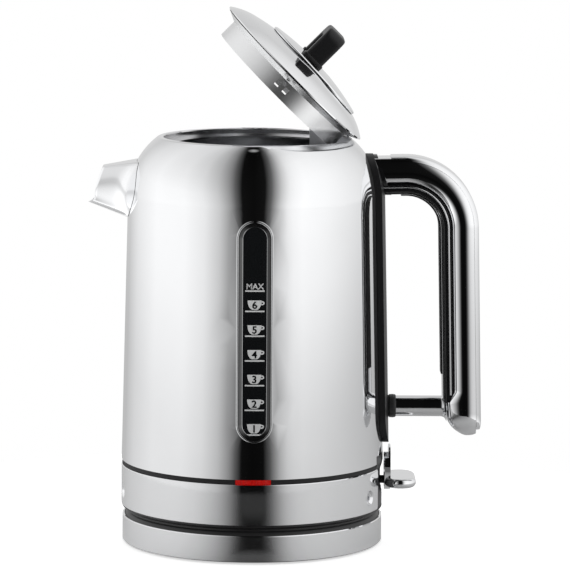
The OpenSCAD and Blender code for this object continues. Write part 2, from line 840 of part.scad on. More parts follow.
module handle_collar() {
    grow = 0.7;
    r = (bar_out + grow - inner_in) / 2;
    mid = (bar_out + grow + inner_in) / 2;
    side = max(bar_w / 2 + grow - r, 0.5);
    color(black) difference() {
        difference() {
            handle_frame() rotate([0, -90, 0]) linear_extrude(40) {
                for (s = [-1, 1]) translate([mid, s * side]) circle(r = r);
                translate([mid - r, -side]) square([2 * r, 2 * side]);
            }
            rod_x(screw_r + 0.2, 30, far, screw_zs[1]);
        }
        beyond_slant(0);
        body_solid(plate_t + seat, shell_z, crest_z + 30, $fn = 360);
    }
}

strut_x0 = body_r(strut_z) + plate_t + 4.3;
strut_x1 = body_r(ref_z) + handle_reach - bar_t + 1.0;

module strut_collar() {
    x0 = body_r(strut_z) + plate_t - 0.4;
    l = strut_x0 - x0;
    hole = screw_r + 0.2;
    color(black) difference() {
        translate([x0, 0, strut_z]) rotate([0, 90, 0]) rotate_extrude()
            polygon([[hole, 0], [strut_r + 2, 0], [strut_r + 2, 2.2], [strut_r + 1.1, l + 0.2],
                [strut_r + seat, l + 0.2], [strut_r + seat, l - seat], [hole, l - seat]]);
        body_solid(plate_t + seat, $fn = 360);
    }
}

module handle_strut() {
    color(chrome) difference() {
        rod_x(strut_r, strut_x0, strut_x1, strut_z);
        rod_x(screw_r + 0.2, 50, strut_x0 + 12, strut_z);
        handle_frame() translate([0, 0, -leg_low - 60]) linear_extrude(leg_low + 60)
            bar_section(bar_in - seat, bar_out + 5);
    }
}

module handle_screws() {
    color(steel) for (z = screw_zs) {
        inner = body_r(z + 3.4) - shell_t - 0.4;
        end = z > ref_z ? slant_x + 6 : strut_x0 + 11;
        rod_x(screw_r, inner - 1, end, z);
        rod_x(3.4, inner - 1.8, inner, z);
    }
}

// ---------------------------------------------------------------- lid hinge

module hinge_bracket() {
    low = hinge_z - 11.2;
    color(steel) difference() {
        intersection() {
            body_solid(-shell_t - seat, shell_z, crest_z - shell_t - seat);
            union() {
                for (s = [-1, 1]) translate([hinge_x - 6, s > 0 ? cheek_in : -cheek_in - cheek_t, low])
                    cube([30, cheek_t, hinge_z + 3.6 - low]);
                translate([hinge_x + 1.5, -cheek_in - cheek_t, low]) cube([30, 2 * (cheek_in + cheek_t), 5.2]);
            }
        }
        rod_y(pin_r + 0.02, -far, far, hinge_x, hinge_z);
    }
}

module hinge_pin() {
    half = cheek_in + cheek_t + 0.5;
    color(steel) rod_y(pin_r, -half, half, hinge_x, hinge_z);
}

// Places a shape drawn in the lid's own frame, whose origin is the middle of the rim
module in_lid() {
    translate([hinge_x, 0, hinge_z]) rotate([0, lid_open, 0])
        translate([mouth_x - hinge_x, 0, rim_z - hinge_z]) children();
}

// ---------------------------------------------------------------- lid, drawn shut round its rim

crown_edge = rim_r - 13.3;
crown_drop = 5.25;
crown_r = (pow(crown_edge, 2) + pow(crown_drop, 2)) / (2 * crown_drop);
crown_cz = crown_h - crown_r;
edge_r = 40;
edge_t = asin(crown_edge / crown_r);
edge_c = [crown_edge - edge_r * sin(edge_t), crown_h - crown_drop - edge_r * cos(edge_t)];
brim_z = -3.9;
pad_x = 6.8;
pad_half_l = 34.2;
pad_half_w = 25;
pad_gasket_t = 0.6;
pad_plate_t = 0.8;
knob_x = 1;
knob_seat = pad_gasket_t + pad_plate_t + 3 * seat;
knob_leg = 8;
knob_bar = 7.5;
knob_screw_y = knob_w / 2 - 4.5;

// Half section below the dome's outer surface, moved by off
module dome_section(off) {
    intersection() {
        union() {
            intersection() {
                translate([0, crown_cz]) circle(r = crown_r + off, $fn = 360);
                square([crown_edge, far]);
            }
            intersection() {
                translate(edge_c) circle(r = edge_r + off);
                translate([crown_edge, 0]) square([far, far]);
            }
        }
        square([rim_r, far]);
    }
}

module lid_dome() {
    color(chrome) in_lid() difference() {
        rotate_extrude() union() {
            difference() {
                dome_section(0);
                dome_section(-lid_t);
            }
            translate([rim_r - 1.2, 0]) square([1.2, 0.7]);
        }
        for (s = [-1, 1]) translate([knob_x, s * knob_screw_y, 0]) cylinder(r = 2, h = 30);
    }
}

module lid_skirt() {
    brim_r = rim_r - 1.0;
    slope = -brim_z / (rim_r - skirt_r);
    brim_top = -(rim_r - brim_r) * slope;
    color(chrome) in_lid() difference() {
        rotate_extrude() polygon([[skirt_r - lid_t, -skirt_h], [skirt_r, -skirt_h], [skirt_r, brim_z],
            [brim_r, brim_top - seat], [brim_r - 0.8, brim_top - seat], [skirt_r - lid_t, brim_z + lid_t * 0.7]]);
        along_x(skirt_r - 8, skirt_r + 1.6) translate([-cheek_in - 0.5, -skirt_h - 5])
            square([2 * cheek_in + 1, skirt_h + 5 - 2.9]);
        along_y(-far, -20) {
            translate([-7.2, -10.4]) square([3, 3.6]);
            translate([-1.0, -10.4]) square([3, 3.6]);
            translate([-2.8, -5.9]) circle(r = 1.6);
        }
    }
}

module lid_inner_plate() {
    color(steel) in_lid() difference() {
        translate([0, 0, brim_z - 1.2]) cylinder(r = skirt_r - lid_t - seat, h = 0.8);
        along_x(skirt_r - 22, far) translate([-arm_w - 0.3, brim_z - 6]) square([2 * arm_w + 0.6, 10]);
    }
}

// The raised seat of the knob: a layer that follows the crown inside a stadium outline
module crown_layer(off0, off1, shrink) {
    difference() {
        intersection() {
            rotate_extrude() difference() {
                intersection() {
                    translate([0, crown_cz]) circle(r = crown_r + off1, $fn = 360);
                    square([far, far]);
                }
                translate([0, crown_cz]) circle(r = crown_r + off0, $fn = 360);
            }
            translate([pad_x, 0, 0]) linear_extrude(40) rotate([0, 0, 90])
                stadium(pad_half_w - shrink, -pad_half_l + shrink, pad_half_l - shrink);
        }
        for (s = [-1, 1]) translate([knob_x, s * knob_screw_y, 0]) cylinder(r = 2, h = 40);
    }
}

module lid_pad_gasket() {
    color(black) in_lid() crown_layer(seat, seat + pad_gasket_t, 0.5);
}

module lid_pad() {
    color(chrome) in_lid() crown_layer(2 * seat + pad_gasket_t, 2 * seat + pad_gasket_t + pad_plate_t, 0);
}

// Front view of the knob: a strap that bends down into two legs
module knob_outline(grow, z0, z1, r) {
    half = knob_w / 2 + grow;
    for (s = [-1, 1]) translate([s * (half - r), z1 - r]) circle(r = r);
    translate([-half, z0]) square([2 * half, z1 - z0 - r]);
    translate([-half + r, z0]) square([2 * (half - r), z1 - z0]);
}

module lid_knob() {
    foot_h = 2;
    foot_grow = 0.8;
    crown_top = crown_h + knob_seat;
    color(black) in_lid() translate([knob_x, 0, 0]) difference() {
        union() {
            intersection() {
                along_x(-knob_t / 2, knob_t / 2) knob_outline(0, 5, knob_top, 6);
                along_y(-far / 2, far / 2) knob_side(knob_t / 2);
            }
            for (s = [-1, 1], step = [[foot_grow, foot_h], [foot_grow / 2, foot_h + 1.2]])
                translate([0, s * (knob_w / 2 - knob_leg / 2), 0])
                    knob_foot(knob_t / 2 + step[0], knob_leg / 2 + step[0], crown_top - 1.6 + step[1]);
        }
        translate([-knob_x, 0, crown_cz]) sphere(r = crown_r + knob_seat, $fn = 90);
        along_x(-far, far) knob_outline(-knob_leg, 5, knob_top - knob_bar, 6);
        for (s = [-1, 1]) translate([0, s * knob_screw_y, 0]) cylinder(r = 1.7, h = 24);
    }
}

// Side view of the knob, with a softly crowned top
module knob_side(half) {
    r = 2.2;
    for (s = [-1, 1]) translate([s * (half - r), knob_top - 1.2 - r]) circle(r = r);
    translate([-half, 0]) square([2 * half, knob_top - 1.2 - r]);
    intersection() {
        translate([-half + r, 0]) square([2 * (half - r), knob_top]);
        translate([0, knob_top - 16]) circle(r = 16);
    }
}

module knob_foot(hx, hy, top) {
    translate([-hx, -hy, 5]) cube([2 * hx, 2 * hy, top - 5]);
}

module knob_screws() {
    color(steel) in_lid() for (s = [-1, 1]) translate([knob_x, s * knob_screw_y, 0]) {
        head = crown_h - lid_t - 3.2;
        translate([0, 0, head]) cylinder(r = 1.6, h = 12);
        translate([0, 0, head - 1.2]) cylinder(r = 3.4, h = 1.5);
    }
}

// The arm hangs from the brim, passes through the skirt and turns on the hinge pin
arm_pin = [hinge_x - mouth_x, hinge_z - rim_z];
arm_tip = [29.5, -16.8];
arm_toe = [35.9, -23.1];

module lid_hinge_arm() {
    root = [skirt_r - 0.4, brim_z - 1.3];
    brim = arm_pin + [-7.2, 3.6];
    bend = arm_pin + [-4.5, 1.3];
    heel = arm_pin + [-1, -1.9];
    color(steel) in_lid() difference() {
        union() {
            along_y(-arm_w, arm_w) {
                polygon([arm_tip, arm_toe, heel, arm_pin + [0.4, 2], bend, brim, root]);
                translate(arm_pin) circle(r = knuckle_r);
            }
            rod_y(2.2, -arm_w - 0.5, arm_w + 0.5, 38.2, -19.4);
        }
        along_y(-arm_w + arm_t, arm_w - arm_t)
            polygon([arm_tip + [1.9, -0.3], arm_toe + [0.4, 2.1], [40, -32], arm_pin + [9, -9],
                arm_pin + [9, 9], brim + [0, 3], brim + [-0.6, 0.2], root + [0.6, -1.2]]);
        rod_y(pin_r + 0.05, -far, far, arm_pin[0], arm_pin[1]);
    }
}

// ---------------------------------------------------------------- switch

tongue_x = band_r + 0.8;
tongue_t = 3.5;
paddle_z = switch_z - 1.2;
paddle_h = 5.7;
paddle_r = paddle_l / 2;
tongue_half = 12;
tongue_top = switch_z + tongue_rise;

// Flat pill with a rounded edge, long axis along Y
module pill(r, half, h, edge) {
    for (s = [-1, 1]) translate([0, s * (half - r), 0]) rotate_extrude() pill_section(r, h, edge);
    translate([0, half - r, 0]) rotate([90, 0, 0]) linear_extrude(2 * (half - r)) {
        pill_section(r, h, edge);
        mirror([1, 0]) pill_section(r, h, edge);
    }
}

module pill_section(r, h, edge) {
    translate([r - edge, edge]) circle(r = edge);
    translate([r - edge, h - edge]) circle(r = edge);
    square([r - edge, h]);
    translate([0, edge]) square([r, h - 2 * edge]);
}

module switch_lever() {
    color(chrome) difference() {
        union() {
            translate([tongue_x + paddle_r, 0, paddle_z]) pill(paddle_r, paddle_w, paddle_h, 2.7);
            along_x(tongue_x, tongue_x + tongue_t) stadium(tongue_half, paddle_z, tongue_top);
        }
        translate([tongue_x - 10, -far / 2, 0]) cube([10, far, far]);
        along_x(tongue_x - 1, tongue_x + tongue_t - 1)
            stadium(tongue_half - 1.2, paddle_z + paddle_h, tongue_top - 1.2);
        rod_x(2.5, tongue_x - 1, tongue_x + 6, switch_z + 1.6);
    }
}

module switch_stem() {
    z = switch_z + 1.6;
    color(black) difference() {
        union() {
            rod_x(2.4, tongue_x - 3.4, tongue_x + 5.6, z);
            translate([switch_pin_x - 3, -stem_half, switch_z - 3]) cube([6, 2 * stem_half, 6.2]);
            translate([switch_pin_x - 3, -2.2, z - 1.7]) cube([tongue_x - 2 - switch_pin_x + 2, 4.4, 3.4]);
        }
        rod_y(pin_r + 0.05, -far, far, switch_pin_x, switch_z);
    }
}

module switch_pin() {
    half = stem_half + 3;
    color(steel) rod_y(pin_r, -half, half, switch_pin_x, switch_z);
}

base_ring();
base_deck();
base_tray();
base_feet();
base_screws();
cord_gland();
base_connector();
base_contacts();
body_shell();
neck_ring();
spout();
spout_strainer();
floor_plate();
heat_spreader();
heating_element();
chassis();
front_band();
band_screws();
rear_cover();
seam_gasket();
pilot_lens();
kettle_connector();
connector_pins();
control_unit();
steam_tube();
window_bezel();
window_gasket();
window_lens();
window_frame();
handle_plate();
handle_collar();
strut_collar();
handle_strut();
handle_bar();
handle_back_strip();
handle_core();
handle_inner_strip();
grip_pad();
handle_screws();
hinge_bracket();
hinge_pin();
lid_dome();
lid_skirt();
lid_inner_plate();
lid_pad_gasket();
lid_pad();
lid_knob();
knob_screws();
lid_hinge_arm();
switch_lever();
switch_stem();
switch_pin();
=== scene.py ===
import json
import math

import bmesh
import bpy
from bpy.props import FloatProperty, FloatVectorProperty, IntProperty, PointerProperty
from mathutils import Matrix, Vector


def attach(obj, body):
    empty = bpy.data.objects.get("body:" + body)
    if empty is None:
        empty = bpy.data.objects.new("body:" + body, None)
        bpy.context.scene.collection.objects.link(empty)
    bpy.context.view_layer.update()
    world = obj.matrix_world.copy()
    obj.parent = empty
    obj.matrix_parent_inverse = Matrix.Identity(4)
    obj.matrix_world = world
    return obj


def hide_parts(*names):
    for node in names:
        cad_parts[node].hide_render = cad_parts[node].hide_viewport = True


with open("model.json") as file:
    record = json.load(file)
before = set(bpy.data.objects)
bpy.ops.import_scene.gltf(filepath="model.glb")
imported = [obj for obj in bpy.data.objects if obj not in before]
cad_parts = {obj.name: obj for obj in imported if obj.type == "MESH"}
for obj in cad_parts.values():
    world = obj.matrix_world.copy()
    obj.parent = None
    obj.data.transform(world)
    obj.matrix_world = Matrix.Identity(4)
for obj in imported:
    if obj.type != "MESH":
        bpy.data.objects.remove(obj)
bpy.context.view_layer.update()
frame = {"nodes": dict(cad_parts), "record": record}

bl_info = {
    "name": "Electric Kettle Looks",
    "version": (1, 0, 0),
    "blender": (4, 5, 0),
    "location": "View3D > Sidebar > Kettle",
    "description": "Dresses the kettle's solids and builds its printed and polished pieces",
    "category": "Object",
}

MM = 0.001


# ---------------------------------------------------------------- sizes and colours to change

def color_property(name, description, default):
    """A colour that a user may change"""
    return FloatVectorProperty(name=name, description=description, subtype="COLOR", size=3,
                               min=0, max=1, default=default)


class KettleSteelSettings(bpy.types.PropertyGroup):
    """The polished and satin steels"""
    polish_color: color_property(
        "Polished Steel", "Colour of the mirror polished sheet", (0.86, 0.865, 0.875))
    polish_roughness: FloatProperty(
        name="Polish Roughness", description="Blur of the polished sheet's reflections",
        min=0, max=1, default=0.045, subtype="FACTOR")
    satin_color: color_property(
        "Satin Steel", "Colour of brackets, screws and inner sheet", (0.62, 0.63, 0.65))


class KettlePlasticSettings(bpy.types.PropertyGroup):
    """The plastics, the lenses and the printed marks"""
    gloss_color: color_property(
        "Gloss Black", "Colour of the knob and of the handle's rail", (0.012, 0.012, 0.013))
    matt_color: color_property(
        "Matt Black", "Colour of the foot moulding and the base", (0.022, 0.022, 0.023))
    lens_color: color_property(
        "Window", "Colour of the smoked water window", (0.010, 0.011, 0.012))
    lamp_color: color_property(
        "Pilot Light", "Colour of the pilot light's lens", (0.50, 0.008, 0.006))
    print_color: color_property(
        "Printed Marks", "Colour of the marks on the window", (0.86, 0.87, 0.87))


class KettleMarkSettings(bpy.types.PropertyGroup):
    """The marks printed on the water window, in millimetres"""
    cups: IntProperty(
        name="Cups", description="Number of cup marks", min=1, max=6, default=6)
    first_line: FloatProperty(
        name="First Line", description="Height of the one cup line above the table, in millimetres",
        min=74, max=90, default=75.8)
    spacing: FloatProperty(
        name="Spacing", description="Distance from one cup line to the next, in millimetres",
        min=8, max=14.5, default=14.28)
    full_line: FloatProperty(
        name="Full Line", description="Height of the highest fill line, in millimetres",
        min=150, max=185, default=158.9)


class KettleStageSettings(bpy.types.PropertyGroup):
    """Camera, floor and surroundings"""
    lens_mm: FloatProperty(
        name="Lens", description="Focal length of the camera",
        min=50, max=400, default=249.6, subtype="DISTANCE_CAMERA")
    distance: FloatProperty(
        name="Distance", description="How far in front of the kettle the camera stands",
        min=0.5, max=5, default=2.3137, unit="LENGTH")
    height: FloatProperty(
        name="Height", description="Height of the camera above the table",
        min=0.1, max=2, default=0.4621, unit="LENGTH")
    floor_size: FloatProperty(
        name="Floor Size", description="Width of the floor",
        min=0.5, max=4, default=0.60, unit="LENGTH")


# ---------------------------------------------------------------- node helpers

NODE_STEP = 190


class Wiring:
    """Places and links the nodes of one tree"""

    def __init__(self, tree):
        self.tree = tree
        self.column = 0

    def node(self, kind, **values):
        """A new node with the given settings, placed to the right of the last one"""
        made = self.tree.nodes.new(kind)
        self.column += NODE_STEP
        made.location = (self.column, 0)
        for key, value in values.items():
            setattr(made, key, value)
        return made

    def link(self, a, b):
        """Joins an output to an input"""
        self.tree.links.new(a, b)

    def math(self, operation, a, b=None, c=None, clamp=False):
        """Output of a Math node whose inputs are numbers or other outputs"""
        made = self.node("ShaderNodeMath", operation=operation, use_clamp=clamp)
        for i, value in enumerate((a, b, c)):
            if value is None:
                continue
            if isinstance(value, (int, float)):
                made.inputs[i].default_value = value
            else:
                self.link(value, made.inputs[i])
        return made.outputs[0]

    def shader(self, kind, *sources, **inputs):
        """First output of a new node, its first inputs linked and others set by name"""
        made = self.node(kind)
        for source, socket in zip(sources, made.inputs):
            self.link(source, socket)
        for label, value in inputs.items():
            made.inputs[label].default_value = value
        return made.outputs[0]

    def blend(self, low, high, share):
        """Output that goes from low to high as share goes from 0 to 1"""
        left = self.math("MULTIPLY", low, self.math("SUBTRACT", 1.0, share))
        return self.math("ADD", left, self.math("MULTIPLY", high, share))

    def ramp(self, value, stops):
        """Output of a grey ramp, straight between its stops of (place, level)"""
        made = self.node("ShaderNodeValToRGB")
        band = made.color_ramp.elements
        while len(band) < len(stops):
            band.new(0.5)
        for element, (place, level) in zip(band, stops):
            element.position = place
            element.color = (level, level, level, 1)
        self.link(value, made.inputs[0])
        return made.outputs[0]


def new_group(name, inputs, outputs):
    """A shader node group with its sockets, and the wiring, input and output nodes"""
    tree = bpy.data.node_groups.new(name, "ShaderNodeTree")
    for label, kind, default, low, high in inputs:
        socket = tree.interface.new_socket(name=label, in_out="INPUT", socket_type=kind)
        socket.default_value = default
        if kind == "NodeSocketFloat":
            socket.min_value = low
            socket.max_value = high
    for label, kind in outputs:
        tree.interface.new_socket(name=label, in_out="OUTPUT", socket_type=kind)
    wiring = Wiring(tree)
    return tree, wiring, wiring.node("NodeGroupInput"), wiring.node("NodeGroupOutput")


def handling_marks_group():
    """Faint cloudy film, wipe marks and dust specks that a handled surface carries"""
    tree, w, gin, gout = new_group(
        "Handling Marks",
        [("Scale", "NodeSocketFloat", 30.0, 0.1, 2000.0),
         ("Low", "NodeSocketFloat", 0.04, 0.0, 1.0),
         ("High", "NodeSocketFloat", 0.1, 0.0, 1.0)],
        [("Roughness", "NodeSocketFloat"), ("Mask", "NodeSocketFloat")])
    place = w.node("ShaderNodeTexCoord")
    cloud = w.node("ShaderNodeTexNoise")
    cloud.inputs["Detail"].default_value = 5
    cloud.inputs["Roughness"].default_value = 0.6
    w.link(place.outputs["Object"], cloud.inputs["Vector"])
    w.link(gin.outputs["Scale"], cloud.inputs["Scale"])
    speck = w.node("ShaderNodeTexNoise")
    speck.inputs["Detail"].default_value = 2
    w.link(place.outputs["Object"], speck.inputs["Vector"])
    w.link(w.math("MULTIPLY", gin.outputs["Scale"], 18.0), speck.inputs["Scale"])
    mask = w.math("MULTIPLY_ADD", speck.outputs["Fac"], 0.3,
                  w.math("MULTIPLY", cloud.outputs["Fac"], 0.85), clamp=True)
    span = w.math("SUBTRACT", gin.outputs["High"], gin.outputs["Low"])
    w.link(w.math("MULTIPLY_ADD", mask, span, gin.outputs["Low"]), gout.inputs["Roughness"])
    w.link(mask, gout.inputs["Mask"])
    return tree


def fine_grain_group():
    """Moulded or blasted grain, as a height"""
    tree, w, gin, gout = new_group(
        "Fine Grain",
        [("Scale", "NodeSocketFloat", 900.0, 1.0, 9000.0),
         ("Stretch X", "NodeSocketFloat", 1.0, 0.001, 50.0),
         ("Stretch Z", "NodeSocketFloat", 1.0, 0.001, 50.0)],
        [("Height", "NodeSocketFloat")])
    place = w.node("ShaderNodeTexCoord")
    pull = w.node("ShaderNodeCombineXYZ")
    w.link(gin.outputs["Stretch X"], pull.inputs[0])
    w.link(gin.outputs["Stretch X"], pull.inputs[1])
    w.link(gin.outputs["Stretch Z"], pull.inputs[2])
    drawn = w.node("ShaderNodeVectorMath", operation="MULTIPLY")
    w.link(place.outputs["Object"], drawn.inputs[0])
    w.link(pull.outputs[0], drawn.inputs[1])
    grain = w.node("ShaderNodeTexNoise")
    grain.inputs["Detail"].default_value = 3
    w.link(drawn.outputs[0], grain.inputs["Vector"])
    w.link(gin.outputs["Scale"], grain.inputs["Scale"])
    w.link(grain.outputs["Fac"], gout.inputs["Height"])
    return tree


def tint_group():
    """Two shades of one colour, mixed by a slow noise"""
    tree, w, gin, gout = new_group(
        "Shade Variation",
        [("Color", "NodeSocketColor", (0.5, 0.5, 0.5, 1), 0, 1),
         ("Amount", "NodeSocketFloat", 0.1, 0.0, 1.0),
         ("Scale", "NodeSocketFloat", 20.0, 0.1, 2000.0)],
        [("Color", "NodeSocketColor")])
    place = w.node("ShaderNodeTexCoord")
    cloud = w.node("ShaderNodeTexNoise")
    cloud.inputs["Detail"].default_value = 4
    w.link(place.outputs["Object"], cloud.inputs["Vector"])
    w.link(gin.outputs["Scale"], cloud.inputs["Scale"])
    swing = w.math("MULTIPLY", w.math("SUBTRACT", cloud.outputs["Fac"], 0.5), 2.0)
    value = w.math("MULTIPLY_ADD", swing, gin.outputs["Amount"], 1.0)
    shade = w.node("ShaderNodeHueSaturation")
    w.link(value, shade.inputs["Value"])
    w.link(gin.outputs["Color"], shade.inputs["Color"])
    w.link(shade.outputs["Color"], gout.inputs["Color"])
    return tree


GROUPS = {}


def group(key):
    """One of the shared node groups, built when first needed"""
    builders = {"marks": handling_marks_group, "grain": fine_grain_group, "tint": tint_group}
    if key not in GROUPS:
        GROUPS[key] = builders[key]()
    return GROUPS[key]


def place_group(w, key, **values):
    """A shared group placed in a tree, with the values of its inputs"""
    made = w.node("ShaderNodeGroup")
    made.node_tree = group(key)
    for label, value in values.items():
        made.inputs[label.replace("_", " ")].default_value = value
    return made


def grain(scale, strength, across=1.0, along=1.0, depth=0.0001):
    """Grain of a finish: noise scale, stretch across and along, strength, and depth in metres"""
    return scale, across, along, strength, depth


def finish_material(name, color, metallic, rough, marks, tint, clouds, bump=None, specular=0.5,
                    emission=None):
    """A Principled material with its colour variation, handling marks and grain"""
    made = bpy.data.materials.new(name)
    made.use_nodes = True
    tree = made.node_tree
    w = Wiring(tree)
    shader = tree.nodes["Principled BSDF"]
    shade = place_group(w, "tint", Color=(*color, 1), Amount=tint, Scale=clouds)
    w.link(shade.outputs["Color"], shader.inputs["Base Color"])
    shader.inputs["Metallic"].default_value = metallic
    shader.inputs["Specular IOR Level"].default_value = specular
    handling = place_group(w, "marks", Scale=marks, Low=rough[0], High=rough[1])
    w.link(handling.outputs["Roughness"], shader.inputs["Roughness"])
    if bump:
        scale, across, along, strength, depth = bump
        texture = place_group(w, "grain", Scale=scale, Stretch_X=across, Stretch_Z=along)
        relief = w.node("ShaderNodeBump")
        relief.inputs["Strength"].default_value = strength
        relief.inputs["Distance"].default_value = depth
        w.link(texture.outputs["Height"], relief.inputs["Height"])
        w.link(relief.outputs["Normal"], shader.inputs["Normal"])
    if emission:
        glow, power = emission
        shader.inputs["Emission Color"].default_value = (*glow, 1)
        shader.inputs["Emission Strength"].default_value = power
    return made


FINISHES = {}


def build_finishes():
    """Every finish, under the name of its material slot or of its use"""
    steel = bpy.context.scene.kettle_steel
    plastic = bpy.context.scene.kettle_plastic
    polish = steel.polish_roughness
    # slot, name, colour, roughness, scale of marks, tint, scale of tint, and the rest
    metals = [
        ("polished_steel", "Polished Steel", steel.polish_color, (polish * 0.6, polish * 1.5),
         35, 0.012, 60, {}),
        ("brushed_steel", "Satin Steel", steel.satin_color, (0.24, 0.38),
         60, 0.05, 90, {"bump": grain(1400, 0.25, across=0.15)}),
        ("spreader_aluminium", "Spreader Aluminium", (0.70, 0.71, 0.72), (0.35, 0.5),
         50, 0.06, 60, {"bump": grain(700, 0.3, depth=0.0002)}),
        ("inner_steel", "Inner Steel", (0.66, 0.66, 0.67), (0.12, 0.20),
         40, 0.06, 60, {"bump": grain(900, 0.03, along=0.05)}),
        ("skirt_steel", "Skirt Steel", (0.84, 0.845, 0.85), (0.26, 0.32), 45, 0.02, 60, {}),
        ("frame_steel", "Window Frame Steel", (0.62, 0.625, 0.63), (0.06, 0.12), 45, 0.02, 60, {}),
        ("contact_brass", "Contact Metal", (0.80, 0.60, 0.27), (0.16, 0.3),
         90, 0.06, 120, {"bump": grain(1800, 0.2, along=0.1)}),
    ]
    others = [
        ("black_plastic", "Matt Black Plastic", plastic.matt_color, (0.34, 0.48),
         45, 0.15, 70, {"bump": grain(2600, 0.25)}),
        ("black_gloss", "Gloss Black Plastic", plastic.gloss_color, (0.12, 0.22),
         40, 0.12, 60, {"bump": grain(1500, 0.03)}),
        ("black_satin", "Satin Black Plastic", plastic.gloss_color, (0.34, 0.44),
         40, 0.12, 60, {"bump": grain(1900, 0.08), "specular": 0.3}),
        ("black_rubber", "Black Rubber", (0.018, 0.018, 0.019), (0.5, 0.66),
         60, 0.2, 80, {"bump": grain(2200, 0.4), "specular": 0.35}),
        ("smoked_lens", "Smoked Window", plastic.lens_color, (0.05, 0.10), 30, 0.1, 50, {}),
        ("red_lens", "Pilot Light Lens", plastic.lamp_color, (0.08, 0.2), 400, 0.9, 700,
         {"bump": grain(600, 0.9, along=0.05, depth=0.0006),
          "emission": ((0.45, 0.006, 0.004), 0.35)}),
        ("print", "Printed Mark", plastic.print_color, (0.35, 0.5),
         200, 0.03, 400, {"bump": grain(3000, 0.1, depth=0.00005)}),
    ]
    for metallic, rows in ((1, metals), (0, others)):
        for slot, name, color, rough, marks, tint, clouds, more in rows:
            FINISHES[slot] = finish_material(name, color, metallic, rough, marks, tint, clouds,
                                             **more)


def dress(obj, finish):
    """Gives a piece one finish all over"""
    obj.data.materials.clear()
    obj.data.materials.append(FINISHES[finish])


def dress_some(mesh, finish, chosen):
    """Gives the faces of a mesh that chosen picks a second finish"""
    mesh.materials.append(FINISHES[finish])
    for face in mesh.polygons:
        if chosen(face):
            face.material_index = 1


# ---------------------------------------------------------------- shapes, in millimetres

FOOT_R, WAIST_R, FOOT_Z, WAIST_Z, ROUND_R = 77.5, 73.9, 49.5, 205.2, 44.0
WELD = 1e-7  # metres


def wall_r(z):
    """Radius of the kettle's outside at a height"""
    if z <= WAIST_Z:
        return FOOT_R - (z - FOOT_Z) * (FOOT_R - WAIST_R) / (WAIST_Z - FOOT_Z)
    return WAIST_R - ROUND_R + math.sqrt(max(ROUND_R ** 2 - (z - WAIST_Z) ** 2, 0))


def on_front(x, z, off):
    """A point on the window's side of the wall, off outside it"""
    r = wall_r(z) + off
    return x, -math.sqrt(r * r - x * x), z


def new_piece(name, verts, faces, body, slot, replaced=(), sharp=28, finish=None, matrix=None):
    """A smooth shaded piece that rides on its body, in its slot's finish or another one"""
    mesh = bpy.data.meshes.new(name)
    mesh.from_pydata([Vector(v) * MM for v in verts], [], faces)
    if matrix is not None:
        mesh.transform(matrix)
    work = bmesh.new()
    work.from_mesh(mesh)
    bmesh.ops.remove_doubles(work, verts=work.verts, dist=WELD)
    bmesh.ops.recalc_face_normals(work, faces=work.faces)
    work.to_mesh(mesh)
    work.free()
    mesh.polygons.foreach_set("use_smooth", [True] * len(mesh.polygons))
    mesh.set_sharp_from_angle(angle=math.radians(sharp))
    obj = bpy.data.objects.new(name, mesh)
    bpy.context.scene.collection.objects.link(obj)
    dress(obj, finish or slot)
    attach(obj, body)
    if replaced:
        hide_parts(*replaced)


def grid_faces(rows, columns, wrap_rows=False, wrap_columns=False, start=0):
    """Quads over a grid of points, row after row"""
    faces = []
    for j in range(rows if wrap_rows else rows - 1):
        here = start + j * columns
        there = start + (j + 1) % rows * columns
        for i in range(columns if wrap_columns else columns - 1):
            k = (i + 1) % columns
            faces.append((here + i, here + k, there + k, there + i))
    return faces


def rounded(points, steps=5):
    """A closed outline with its corners rounded; each point is (x, y, radius)"""
    out = []
    n = len(points)
    for i, (x, y, r) in enumerate(points):
        here = Vector((x, y))
        if r <= 0:
            out.append(here)
            continue
        before = Vector(points[i - 1][:2]) - here
        after = Vector(points[(i + 1) % n][:2]) - here
        half = before.angle(after) / 2
        reach = min(r / math.tan(half), before.length * 0.499, after.length * 0.499)
        radius = reach * math.tan(half)
        between_sides = (before.normalized() + after.normalized()).normalized()
        middle = here + between_sides * (radius / math.sin(half))
        a = here + before.normalized() * reach - middle
        b = here + after.normalized() * reach - middle
        sweep = a.angle_signed(b)
        for k in range(steps + 1):
            turned_by = Matrix.Rotation(-sweep * k / steps, 2)
            out.append(middle + turned_by @ a)
    return out


def capped_tube(rings):
    """Points and faces of rings joined in order, closed with a fan at both ends"""
    count = len(rings[0])
    verts = [p for ring in rings for p in ring]
    faces = grid_faces(len(rings), count, wrap_columns=True)
    for ring, start in ((rings[0], 0), (rings[-1], (len(rings) - 1) * count)):
        verts.append(tuple(sum(p[k] for p in ring) / count for k in range(3)))
        faces += [(start + i, start + (i + 1) % count, len(verts) - 1) for i in range(count)]
    return verts, faces


def ring_tube(rings):
    """Points and faces of rings joined in order, the last to the first"""
    faces = grid_faces(len(rings), len(rings[0]), wrap_rows=True, wrap_columns=True)
    return [p for ring in rings for p in ring], faces


# ---------------------------------------------------------------- spout

SPOUT_TOP, SPOUT_LOW, SPOUT_T, SPOUT_STEPS = 226.1, 192.7, 1.0, 26
LIP_LOW, LIP_HIGH, LIP_W, LIP_LONG = (-97.2, 201.4), (-88.4, 222.8), 7.2, 25
LIP_HOLLOW, HOLLOW_AT = 2.7, 0.13
LIP_ROLL = (-0.25, 0, -0.05)
ROOT_W, ROOT_GAP, FLARE_W, FLARE_FADE = 14.0, 0.15, 13.0, 11
